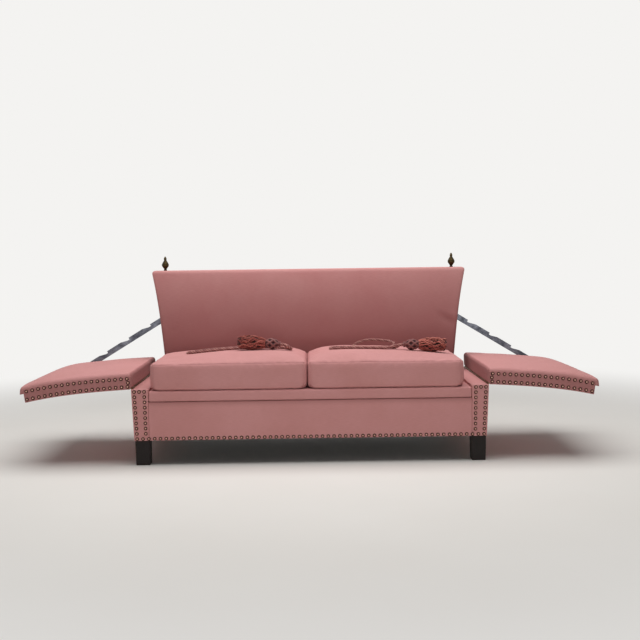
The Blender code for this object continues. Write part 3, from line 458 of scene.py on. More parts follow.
# Planed beech with nothing on it: pale, close-grained and dry
BEECH = WoodFinish("planed beech", Slot.BEECH, "c79c6c", "a87c4f", "d8b78d", Grain.X, 0.007, 0.6)
POST_BEECH = WoodFinish("planed beech posts", Slot.BEECH, "c79c6c", "a87c4f", "d8b78d", Grain.Z, 0.007, 0.6)
# Turned brass left to darken: brown-black, dull gold where hands reach it, and a painted highlight on its
# bulb and bead
BRASS = MetalFinish("antique brass", Slot.BRASS, "31281a", "130f08", "6b5b3a", 0.010, 0.42)
# Pressed and bronzed heads: dark rims and a small painted highlight on each crown
NAIL = MetalFinish("bronzed nail heads", Slot.BRASS, "331a15", "180b09", "cf9f90", 0.009, 0.42)
# Forged and blued steel: grey, a little mottled, satin
STEEL = MetalFinish("blued steel", Slot.STEEL, "767c85", "585e67", "959ba3", 0.030, 0.50)
# Rolled and browned steel: warm and satin
HINGE = MetalFinish("browned hinge steel", Slot.HINGE, "85644c", "573f2f", "ab8a6a", 0.016, 0.46)
# Twisted yarn in three shades: matt, its lay drawn by painted shade between the strands, with painted
# highlights on the knot
ROPE_YARN = YarnFinish("twisted rope yarn", Slot.ROPE, "c98f86", "995d58", "34131a")
# Twisted bullion fringe: rust red, with painted shade, almost black, between its plies
BULLION = YarnFinish("rust bullion yarn", Slot.BULLION, "e08777", "993f37", "160304")
# Woven jute: coarse and dry
JUTE = StrapFinish("jute webbing", Slot.JUTE, "b89a6a", "7d6440", 0.0026)
# Thin woven lining cotton: black and flat
CAMBRIC = StrapFinish("black cambric", Slot.CAMBRIC, "35323a", "17161a", 0.0020)


# Surfaces


# Edges that turn by more than this stay crisp
CRISP = math.radians(65)


@dataclass
class Surface:
    """A mesh in arrays: its points, blocks of faces by corner count, and each point's place in its box."""

    points: Array
    faces: list[Array]
    share: Array = field(default_factory=lambda: np.zeros((0, 3)))

    def outward(self) -> None:
        """Turns the faces round where the volume that they enclose comes out negative."""
        volume = 0.0
        for block in self.faces:
            first = self.points[block[:, 0]]
            for corner in range(1, block.shape[1] - 1):
                cross = np.cross(self.points[block[:, corner]], self.points[block[:, corner + 1]])
                volume += float((first * cross).sum())
        if volume < 0:
            self.faces = [block[:, ::-1] for block in self.faces]


def soft_box(low: Sequence[float], high: Sequence[float], radius: float, cuts: Cuts, arc: int = 4) -> Surface:
    """A box with rounded edges and corners.

    Each point of a plain box is drawn to one radius from the nearest point of the box's core, which is the
    box less the radius all round. Samples near an edge follow the tangent of even angles, so the rounding
    is even.

    Args:
        low: lowest corner.
        high: highest corner.
        radius: rounding of the edges.
        cuts: number of even steps between the roundings, or the places of the cuts, for each axis.
        arc: steps in each half of a rounding.

    Returns:
        The closed surface, with each point's place in the box from -1 to 1.
    """
    low, high = np.asarray(low, float), np.asarray(high, float)
    turn = np.tan(np.linspace(math.pi / 4, 0, arc, endpoint=False))
    samples = []
    for start, end, cut in zip(low, high, cuts):
        near, far = start + radius, end - radius
        inner = np.linspace(near, far, cut + 1) if isinstance(cut, int) else np.asarray(cut, float)
        samples.append(np.concatenate([near - radius * turn, inner, far + radius * turn[::-1]]))
    counts = [len(row) for row in samples]
    blocks = []
    for axis in range(3):
        across, up = (axis + 1) % 3, (axis + 2) % 3
        for edge in (0, counts[axis] - 1):
            index = np.zeros((counts[across], counts[up], 3), int)
            index[..., axis] = edge
            index[..., across] = np.arange(counts[across])[:, None]
            index[..., up] = np.arange(counts[up])[None, :]
            key = (index[..., 0] * counts[1] + index[..., 1]) * counts[2] + index[..., 2]
            quads = np.stack([key[:-1, :-1], key[1:, :-1], key[1:, 1:], key[:-1, 1:]], -1).reshape(-1, 4)
            blocks.append(quads if edge else quads[:, ::-1])
    used, faces = np.unique(np.concatenate(blocks), return_inverse=True)
    i, j, k = used // (counts[1] * counts[2]), used // counts[2] % counts[1], used % counts[2]
    plain = np.column_stack([samples[0][i], samples[1][j], samples[2][k]])
    core = np.clip(plain, low + radius, high - radius)
    out = plain - core
    points = core + radius * out / np.linalg.norm(out, axis=1, keepdims=True)
    share = (plain - (low + high) / 2) / ((high - low) / 2)
    return Surface(points, [faces.reshape(-1, 4)], share)


def circle(steps: int) -> Array:
    """Even angles round a circle."""
    return np.linspace(0, 2 * math.pi, steps, endpoint=False)


def tubes(rings: Array) -> Surface:
    """Closed tubes from rings of points: neighbouring rings are joined by quads and each end gets one cap.

    Args:
        rings: array of tubes, rings, points round a ring and X, Y, Z.

    Returns:
        The surface, with the share along the tube in its first column and round it in its second.
    """
    count, long, wide, _ = rings.shape
    index = np.arange(count * long * wide).reshape(count, long, wide)
    after = np.roll(index, -1, axis=2)
    quads = np.stack([index[:, :-1], after[:, :-1], after[:, 1:], index[:, 1:]], -1).reshape(-1, 4)
    caps = np.concatenate([index[:, 0, ::-1], index[:, -1]])
    along, round_it = np.meshgrid(np.linspace(0, 1, long), np.arange(wide) / wide, indexing="ij")
    share = np.stack([along, round_it, np.zeros_like(along)], -1)
    share = np.broadcast_to(share, rings.shape).reshape(-1, 3)
    return Surface(rings.reshape(-1, 3), [quads, caps], share)


def lathe(profile: Array, steps: int) -> Array:
    """Rings of a turned shape: each profile point carried round the Z axis.

    Args:
        profile: radius and height of each point, both ends close to the axis.
        steps: points round a ring.

    Returns:
        Array of one tube's rings, for tubes().
    """
    angle = circle(steps)
    radius, height = profile[:, 0, None], profile[:, 1, None]
    rings = np.stack([radius * np.cos(angle), radius * np.sin(angle), height + 0 * angle], -1)
    return rings[None]


def joined(surfaces: Sequence[Surface]) -> Surface:
    """Puts surfaces into one, their blocks of faces side by side.

    Args:
        surfaces: the surfaces.

    Returns:
        One surface.
    """
    starts = np.cumsum([0] + [len(each.points) for each in surfaces[:-1]])
    faces = [block + start for each, start in zip(surfaces, starts) for block in each.faces]
    points = np.concatenate([each.points for each in surfaces])
    return Surface(points, faces, np.concatenate([each.share for each in surfaces]))


def ramp(away: Array, reach: float) -> Array:
    """A straight rise from nothing to one over a reach, and one past it."""
    return np.clip(away / reach, 0, 1)


def bell(away: Array, width: float, power: int = 2) -> Array:
    """A bell curve of a distance: one at nothing, about a third at its width, squarer by its power."""
    return np.exp(-((away / width) ** power))


def pillow(first: Array, first_power: int, second: Array, second_power: int) -> Array:
    """A padded face's swell: one less a power of its share, for two directions, times each other."""
    return (1 - np.abs(first) ** first_power) * (1 - np.abs(second) ** second_power)


def ripple(points: Array, wave: float, seed: int) -> Array:
    """Gentle unevenness: a sum of seven sines of random direction and phase, with waves near one length.

    Args:
        points: places to work it out at.
        wave: wavelength.
        seed: which unevenness.

    Returns:
        A value from about -1 to 1 for each point.
    """
    sines, full_turn, level = 7, 6.28, 3.6
    chance = np.random.default_rng(seed)
    ways = chance.normal(size=(sines, 3))
    turns = (2 * math.pi / wave) * chance.uniform(0.6, 1.5, (sines, 1))
    ways *= turns / np.linalg.norm(ways, axis=1)[:, None]
    return np.sin(points @ ways.T + chance.uniform(0, full_turn, sines)).sum(axis=1) / level


@dataclass(frozen=True)
class Crease:
    """A crease in a padded face from one point to another, or a fold where its depth is negative."""

    depth: float
    start: Point
    end: Point
    width: float

    def dent(self, points: Array) -> Array:
        """How deep it is at each point: a bell curve of the distance from its line, fading at both ends.

        Args:
            points: places to work it out at.

        Returns:
            Depths.
        """
        first, line = np.asarray(self.start, float), np.subtract(self.end, self.start)
        along = np.clip((points - first) @ line / (line @ line), 0, 1)
        away = np.linalg.norm(points - first - along[:, None] * line, axis=1)
        return self.depth * (bell(away, self.width) * np.sin(math.pi * along))


def read(items: Any, name: str, kind: type, width: int) -> Array:
    """Reads one property of every point, corner or face of a mesh.

    Args:
        items: the mesh's points, corners or faces.
        name: the property's name.
        kind: its type of number.
        width: how many numbers each has.

    Returns:
        A row for each.
    """
    values = np.empty(len(items) * width, kind)
    items.foreach_get(name, values)
    return values.reshape(-1, width)


def weave_map(mesh: bpy.types.Mesh) -> None:
    """Lays the cloth on: each face takes its UV in metres from the two axes that it faces least.

    Args:
        mesh: the piece's mesh.
    """
    normals = read(mesh.polygons, "normal", np.float32, 3)
    sizes = read(mesh.polygons, "loop_total", np.int32, 1)[:, 0]
    corners = read(mesh.loops, "vertex_index", np.int32, 1)[:, 0]
    points = read(mesh.vertices, "co", np.float32, 3)[corners]
    facing = np.repeat(np.abs(normals).argmax(axis=1), sizes)
    across = np.where(facing == 0, points[:, 1], points[:, 0])
    up = np.where(facing == 2, points[:, 1], points[:, 2])
    layer = mesh.uv_layers.new(name="weave")
    layer.uv.foreach_set("vector", np.column_stack([across, up]).astype(np.float32).ravel())


def put(mesh: bpy.types.Mesh, name: str, values: Array) -> None:
    """Stores a value for each point of a mesh, for its material to read.

    Args:
        mesh: the mesh.
        name: the attribute's name.
        values: one number per point.
    """
    attribute = mesh.attributes.new(name, "FLOAT", "POINT")
    attribute.data.foreach_set("value", np.clip(values, 0, 1).astype(np.float32))


@dataclass
class Piece:
    """What a piece needs besides its shape: name, finish, body, and the solids that it stands for."""

    name: str
    finish: Finish
    body: str
    stands_for: tuple[str, ...] = ()

    def make(
        self, surface: Surface, wear: Array | None = None, seam: Array | None = None
    ) -> bpy.types.Object:
        """Makes the piece's object from arrays and sets it on its body.

        Args:
            surface: the piece's shape.
            wear: the paler coat at each point, from 0 to 1: rubbed edges, ply tones and painted highlights.
            seam: the deep coat at each point, from 0 to 1: seams and painted shade.

        Returns:
            The object, at the origin, smooth shaded and dressed.
        """
        surface.outward()
        mesh = bpy.data.meshes.new(self.name)
        mesh.vertices.add(len(surface.points))
        mesh.vertices.foreach_set("co", surface.points.astype(np.float32).ravel())
        sizes = np.concatenate([np.full(len(block), block.shape[1]) for block in surface.faces])
        mesh.loops.add(int(sizes.sum()))
        corners = np.concatenate([block.ravel() for block in surface.faces])
        mesh.loops.foreach_set("vertex_index", corners.astype(np.int32))
        mesh.polygons.add(len(sizes))
        mesh.polygons.foreach_set("loop_start", (np.cumsum(sizes) - sizes).astype(np.int32))
        mesh.update(calc_edges=True)
        mesh.validate()
        mesh.shade_smooth()
        mesh.set_sharp_from_angle(angle=CRISP)
        weave_map(mesh)
        none = np.zeros(len(surface.points))
        put(mesh, "wear", none if wear is None else wear)
        put(mesh, "seam", none if seam is None else seam)
        mesh.materials.append(self.finish.material())
        made = bpy.data.objects.new(self.name, mesh)
        bpy.context.scene.collection.objects.link(made)
        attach(made, self.body)
        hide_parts(*self.stands_for)
        LOG.info("%s on %s: %d points, %d faces", self.name, self.body, len(surface.points), len(sizes))
        return made


def corners_of(node: str) -> tuple[Array, Array]:
    """Lowest and highest corner of a solid, as arrays."""
    low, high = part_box(node)
    return np.array(low), np.array(high)


def edge_wear(share: Array, reach: float) -> Array:
    """How rubbed each point of a box is: one on its edges, falling to nothing a reach away.

    Args:
        share: place in the box from -1 to 1.
        reach: how far the wear reaches, as a share of the half box.

    Returns:
        Wear from 0 to 1.
    """
    nearest = np.sort(np.abs(share), axis=1)[:, 1]
    return ramp(nearest - 1 + reach, reach) ** 2


# Nails


@dataclass
class NailTrim:
    """Rows of domed nail heads on a front face."""

    radius: float = 0.0084
    rise: float = 0.0042
    crown: float = 0.96
    rings: int = 4
    steps: int = 12

    def heads(self, places: Array) -> Surface:
        """Domes at the given places, standing towards -Y: a quarter circle of radii carried round each axis.

        Args:
            places: middle of each nail on the face.

        Returns:
            All the domes, with the share from rim to crown in the first column.
        """
        lift = np.linspace(0, math.pi / 2 * self.crown, self.rings)
        profile = np.column_stack([self.radius * np.cos(lift), self.rise * np.sin(lift)])
        rings = lathe(profile, self.steps)[0]
        standing = np.stack([rings[..., 0], -rings[..., 2], rings[..., 1]], -1)
        return tubes(standing[None] + places[:, None, None, :])

    def make(self, name: str, body: str, places: Array) -> None:
        """Makes one piece of the nails at the given places, with a painted highlight on their crowns.

        Args:
            name: the piece's name.
            body: the body that it rides on.
            places: middle of each nail.
        """
        surface = self.heads(places)
        # Painted highlight on each crown
        Piece(name, NAIL, body).make(surface, wear=surface.share[:, 0] ** 5)


# Base


@dataclass
class BoxBase:
    """The box under the seat: padded faces, legs, seat deck, bottom cloth and nail trim."""

    half: float = 0.800
    draw: float = 0.010
    front: float = -0.381
    hinge_height: float = 0.345
    panel_edge: float = 0.0035
    post_inner: float = 0.724
    post_swell: float = 0.001
    wall_thick: float = 0.0136
    wall_edge: float = 0.004
    wall_swell: float = 0.0015
    sill_inner: float = 0.7243
    sill_inset: float = 0.0052
    sill_thick: float = 0.0015
    sill_proud: float = 0.0024
    sill_edge: float = 0.0016
    turned_inner: float = 0.7216
    turned_outer: float = 0.7250
    turned_low: float = 0.320
    turned_rear: float = 0.170
    turned_edge: float = 0.0014
    deck_edge: float = 0.010
    deck_dip: float = 0.0012
    bottom_inset: float = 0.0006
    bottom_sag: float = 0.004
    leg_height: float = 0.113
    leg_taper: float = 0.004
    leg_arris: float = 0.0028
    nail_low: float = 0.122
    nail_drop: float = 0.011
    nail_proud: float = 0.0006
    nail_sunk: float = 0.0012
    column_outer: float = 0.786
    column_inner: float = 0.741
    column_lean: float = 0.4
    nails_wide: int = 61
    nails_tall: int = 10

    def side_line(self, z: Array) -> Array:
        """Half width of the base at a height: it draws in evenly from the hinge line down to the legs."""
        return self.half - self.draw * ramp(self.hinge_height - z, self.hinge_height - self.leg_height)

    def drawn(self, points: Array, inner: float, side: Side) -> Array:
        """Leans a side's outer face inwards: X is stretched from an inner line to the side's own line.

        Args:
            points: points built with an upright outer face.
            inner: distance from the middle of the line that stays.
            side: which side.

        Returns:
            The leaned points.
        """
        moved = points.copy()
        out = (np.abs(points[:, 0]) - inner) / (self.half - inner)
        moved[:, 0] = side.value * (inner + out * (self.side_line(points[:, 2]) - inner))
        return moved

    def build(self) -> None:
        """Builds every piece of the base."""
        self.front_faces()
        for side in Side:
            self.post_face(side)
            self.side_face(side)
        self.deck()
        self.bottom()
        self.legs()
        self.nails()

    def front_faces(self) -> None:
        """The flat front panel and the padded roll above it, each a soft box with a slight swell forward."""
        for node, name, radius, swell, cuts, sewn in (
            ("front_panel", "front_face", self.panel_edge, 0.0012, (120, 1, 14), 1),
            ("front_border", "front_roll", 0.0095, 0.0020, (120, 2, 6), -1),
        ):
            surface = soft_box(*corners_of(node), radius, cuts)
            across, through, up = surface.share.T
            bulge = (through < 0) * swell * pillow(across, 8, up, 4)
            surface.points[:, 1] -= bulge * (1 + 0.5 * ripple(surface.points, 0.16, 4))
            seam = 0.5 * bell(up - sewn, 0.16)
            wear = 0.5 * edge_wear(surface.share, 0.05)
            made = Piece(name, CLOTH, "sofa", (node,)).make(surface, wear, seam)

    def post_face(self, side: Side) -> None:
        """A post's front panel: a soft box with a slight swell forward, its outer side leaning in.

        Args:
            side: which side.
        """
        node = f"post_panel_{side.label}"
        surface = soft_box(*corners_of(node), self.panel_edge, (8, 1, 20))
        surface.points = self.drawn(surface.points, self.post_inner, side)
        across, through, up = surface.share.T
        surface.points[:, 1] -= self.post_swell * pillow(across, 4, up, 6) * (through < 0)
        wear = 0.6 * edge_wear(surface.share, 0.12)
        Piece(f"post_face_{side.label}", CLOTH, "sofa", (node,)).make(surface, wear)

    def side_face(self, side: Side) -> None:
        """A side's padded wall, leaning in, and the cloth over the sill, turned down on its inner edge.

        Args:
            side: which side.
        """
        node = f"side_cover_{side.label}"
        low, high = corners_of(node)
        inner = self.half - self.wall_thick
        near, far = side.span(inner, self.half)
        wall = soft_box((near, *low[1:]), (far, *high[1:]), self.wall_edge, (1, 60, 18))
        wall.points = self.drawn(wall.points, inner, side)
        across, deep, up = wall.share.T
        out = side.value * self.wall_swell * pillow(deep, 6, up, 4) * (across * side.value > 0)
        wall.points[:, 0] += out * ripple(wall.points, 0.2, 7)
        near, far = side.span(self.sill_inner, self.half - self.sill_inset)
        top = high[2] + self.sill_proud
        start, end = (near, low[1], high[2] - self.sill_thick), (far, high[1], top)
        sill = soft_box(start, end, self.sill_edge, (4, 40, 1), 2)
        near, far = side.span(self.turned_inner, self.turned_outer)
        start, end = (near, low[1], self.turned_low), (far, self.turned_rear, top)
        turned = soft_box(start, end, self.turned_edge, (1, 40, 2), 2)
        surface = joined([wall, sill, turned])
        wear = 0.5 * edge_wear(surface.share, 0.03)
        made = Piece(f"side_face_{side.label}", CLOTH, "sofa", (node,)).make(surface, wear)

    def deck(self) -> None:
        """The stuffed deck under the cushions: a soft box whose top dips a little between its edges."""
        surface = soft_box(*corners_of("seat_deck"), self.deck_edge, (60, 30, 3))
        across, deep, up = surface.share.T
        dip = self.deck_dip * (pillow(across, 4, deep, 4) * (up > 0))
        surface.points[:, 2] -= dip * (1 + 0.4 * ripple(surface.points, 0.3, 11))
        Piece("deck_cloth", CLOTH, "sofa", ("seat_deck",)).make(surface)

    def bottom(self) -> None:
        """The cloth under the base: a flat sheet that sags by a few millimetres between its tacked edges."""
        low, high = corners_of("dust_cover")
        across, deep = np.meshgrid(np.linspace(-1, 1, 49), np.linspace(-1, 1, 25), indexing="ij")
        middle, reach = (low + high) / 2, (high - low) / 2
        height = high[2] - self.bottom_inset - self.bottom_sag * pillow(across, 2, deep, 2)
        flat = np.stack([middle[0] + reach[0] * across, middle[1] + reach[1] * deep, height], -1)
        index = np.arange(across.size).reshape(across.shape)
        quads = np.stack([index[:-1, :-1], index[:-1, 1:], index[1:, 1:], index[1:, :-1]], -1)
        surface = Surface(flat.reshape(-1, 3), [quads.reshape(-1, 4)])
        made = Piece("bottom_cloth", CAMBRIC, "sofa", ("dust_cover",)).make(surface)

    def legs(self) -> None:
        """Square legs with softened arrises, each side narrowing evenly towards the foot."""
        for end in ("front", "rear"):
            for side in Side:
                node = f"leg_{end}_{side.label}"
                low, high = corners_of(node)
                surface = soft_box(low, high, self.leg_arris, (4, 4, 8), 3)
                middle = (low + high) / 2
                drop = (high[2] - surface.points[:, 2]) / (high[2] - low[2])
                narrow = 1 - drop[:, None] * self.leg_taper / (high[0] - low[0])
                surface.points[:, :2] = middle[:2] + (surface.points[:, :2] - middle[:2]) * narrow
                scuffs = np.clip(ripple(surface.points, 0.03, 21), 0, 1)
                wear = edge_wear(surface.share, 0.1) * (0.25 + 0.6 * scuffs)
                Piece(f"stained_{node}", STAINED, "sofa", (node,)).make(surface, wear)

    def nails(self) -> None:
        """Nail heads: one row along the bottom, two columns up each post and three across its top."""
        low, top = self.nail_low, self.hinge_height - self.nail_drop
        rise = np.linspace(low, top, self.nails_tall)
        outer = self.column_outer - self.half + self.side_line(rise)
        inner = self.column_inner - self.column_lean * (self.half - self.side_line(rise))
        row_x = np.linspace(-outer[0], outer[0], self.nails_wide)
        groups = [np.column_stack([row_x, 0 * row_x, np.full_like(row_x, low)])]
        for side in Side:
            for line in (outer, inner):
                groups.append(np.column_stack([side.value * line, 0 * rise, rise])[1:])
            groups.append(np.array([(side.value * (outer[-1] + inner[-1]) / 2, 0.0, top)]))
        places = np.concatenate(groups)
        on_post = np.abs(places[:, 0]) > self.post_inner
        places[:, 1] = np.where(on_post, self.front - self.nail_proud, self.front + self.nail_sunk)
        NailTrim().make("base_nails", "sofa", places)


# Back


# Share of the finial's radius and of its height, from its tip down to the pin in the back
FINIAL = (
    (0.02, 1.0), (0.14, 0.985), (0.22, 0.955), (0.29, 0.915), (0.36, 0.870), (0.40, 0.830),
    (0.40, 0.800), (0.35, 0.775), (0.33, 0.755), (0.37, 0.720), (0.47, 0.675), (0.62, 0.615),
    (0.80, 0.540), (0.93, 0.475), (1.0, 0.410), (0.97, 0.345), (0.87, 0.285), (0.70, 0.225),
    (0.53, 0.170), (0.41, 0.125), (0.37, 0.085), (0.41, 0.055), (0.46, 0.035), (0.46, 0.012),
    (0.44, 0.0), (0.22, 0.0), (0.22, -0.4), (0.02, -0.4),
)


@dataclass
class FlaredBack:
    """The upright back: padded front, outside back, and the turned finials on its top corners."""

    bottom: float = 0.3353
    top: float = 0.862
    line: float = 0.440
    half_seat: float = 0.726
    half_top: float = 0.795
    straight: float = 0.757
    thick_seat: float = 0.195
    thick_top: float = 0.105
    crown: float = 0.012
    round_edge: float = 0.018
    rear: float = 0.364
    cover: float = 0.0045
    fit: float = 0.0003
    past_cut: float = 0.014
    facing_depth: float = 0.06
    rumple: float = 0.0009
    rubbed: float = 0.55
    rubbed_side: float = 0.035
    rubbed_top: float = 0.02
    shaded: float = 0.85
    shade_fall: float = 0.75
    dent_shade: float = 12.0
    step: float = 0.342
    overlap: float = 0.004
    panel_edge: float = 0.0021
    hollow: float = 0.0008
    creases: tuple[Crease, ...] = (
        Crease(0.0065, (0.62, 0.19, 0.655), (0.745, 0.22, 0.565), 0.019),
        Crease(-0.0030, (0.66, 0.19, 0.675), (0.75, 0.22, 0.605), 0.015),
        Crease(0.0014, (-0.735, 0.22, 0.52), (-0.64, 0.19, 0.60), 0.010),
        Crease(0.0010, (-0.2, 0.17, 0.50), (0.25, 0.17, 0.47), 0.02),
    )

    def half(self, z: Array) -> Array:
        """Half width at a height: mostly straight, flaring by a cube towards the top.

        Args:
            z: heights.

        Returns:
            Half widths.
        """
        rise = (z - self.line) / (self.top - self.line)
        flare = self.straight * rise + (1 - self.straight) * rise**3
        return self.half_seat + (self.half_top - self.half_seat) * flare

    def thick(self, z: Array) -> Array:
        """Thickness at a height, tapering evenly above the seat."""
        rise = np.clip((z - self.line) / (self.top - self.line), 0, None)
        return self.thick_seat + (self.thick_top - self.thick_seat) * rise

    def build(self) -> None:
        """Builds every piece of the back."""
        self.front_pad()
        self.outside()
        for side in Side:
            self.finial(side)

    def front_pad(self) -> None:
        """The padded front, sides and top.

        A soft box is widened by the flare, thinned by the taper, and its front drawn back towards the edges
        by the crown. Its rear is cut flat against the outside back. A few creases run in from its sides.
        """
        face_rear = self.rear - self.cover - self.fit
        deep = self.thick_seat - self.cover - self.fit
        low = (-self.half_top, face_rear - deep, self.bottom - self.past_cut)
        high = (self.half_top, face_rear + self.past_cut, self.top)
        surface = soft_box(low, high, self.round_edge, (150, 8, 52), 5)
        x, y, z = surface.points.T
        y, z = np.minimum(y, face_rear), np.maximum(z, self.bottom)
        half = self.half(z)
        wide = x * half / self.half_top
        taken = (face_rear - y) * (self.thick(z) - self.cover - self.fit) / deep
        middle = (self.bottom + self.top) / 2
        rise = np.abs(z - middle) / (self.top - middle)
        fall = 1 - pillow(wide / half, 3, rise, 3)
        taken -= self.crown * fall * taken / self.thick(z)
        points = np.column_stack([wide, face_rear - taken, z])
        dent = sum(each.dent(points) for each in self.creases)
        facing = ramp(taken, self.facing_depth)
        points[:, 1] += facing * (dent - self.rumple * ripple(points, 0.24, 3))
        surface.points = points
        edge = ramp(np.abs(wide / half) - 1 + self.rubbed_side, self.rubbed_side) ** 2
        wear = self.rubbed * np.maximum(edge, ramp(z - self.top + self.rubbed_top, self.rubbed_top))
        # Painted shade, deepest low down where the arms and cushions keep the light off, and in the creases
        kept = self.shaded * ramp(self.top - z, self.top - self.line) ** self.shade_fall
        seam = np.clip(kept + self.dent_shade * dent, 0, 1)
        made = Piece("back_upholstery", SHADED_BACK_CLOTH, "sofa", ("back_pad",)).make(surface, wear, seam)

    def outside(self) -> None:
        """The outside back: a thin panel over the base and one over the back, hollow between their edges."""
        near, base = self.rear - self.cover, BoxBase()
        low, high = (-base.half, near, base.leg_height), (base.half, self.rear, self.step)
        lower = soft_box(low, high, self.panel_edge, (80, 1, 14), 3)
        lower.points[:, 0] *= base.side_line(lower.points[:, 2]) / base.half
        low, high = (-1, near, self.step - self.overlap), (1, self.rear, self.top)
        upper = soft_box(low, high, self.panel_edge, (100, 1, 36), 3)
        z = upper.points[:, 2]
        into = ramp(z - self.top + self.round_edge, self.round_edge)
        corner = self.round_edge * (1 - np.sqrt(np.clip(1 - into**2, 0, 1)))
        upper.points[:, 0] *= self.half(z) - 0.5 * corner
        for surface, seed in ((lower, 15), (upper, 16)):
            across, through, up = surface.share.T
            hollow = self.hollow * (pillow(across, 6, up, 6) * (through > 0))
            surface.points[:, 1] -= hollow * (1 + ripple(surface.points, 0.3, seed))
        surface = joined([lower, upper])
        # The outside back is dressed in the shaded copy of the cloth
        made = Piece("outside_back", SHADED_BACK_CLOTH, "sofa", ("back_rear_cover",)).make(surface)

    def finial(self, side: Side) -> None:
        """A turned urn drawn up to a bead and a blunt tip: its profile carried round its own axis.

        Args:
            side: which corner.
        """
        node = f"finial_{side.label}"
        low, high = corners_of(node)
        middle = (low + high) / 2
        radius, foot = (high[0] - low[0]) / 2, self.top + self.fit
        tall = high[2] - foot
        surface = tubes(lathe(np.array(FINIAL) * (radius, tall) + (0.0, foot), 32))
        surface.points[:, :2] += middle[:2]
        # Paler bands on the bulb and the bead: partly rubbing, partly a painted highlight
        heights = foot + tall * np.array((0.0, 0.36, 0.46, 0.72, 0.83, 1.0))
        raised = np.interp(surface.points[:, 2], heights, (0.1, 0.5, 0.3, 0.1, 0.7, 0.3))
        Piece(f"turned_{node}", BRASS, "sofa", (node,)).make(surface, raised * 0.6)


# Arms


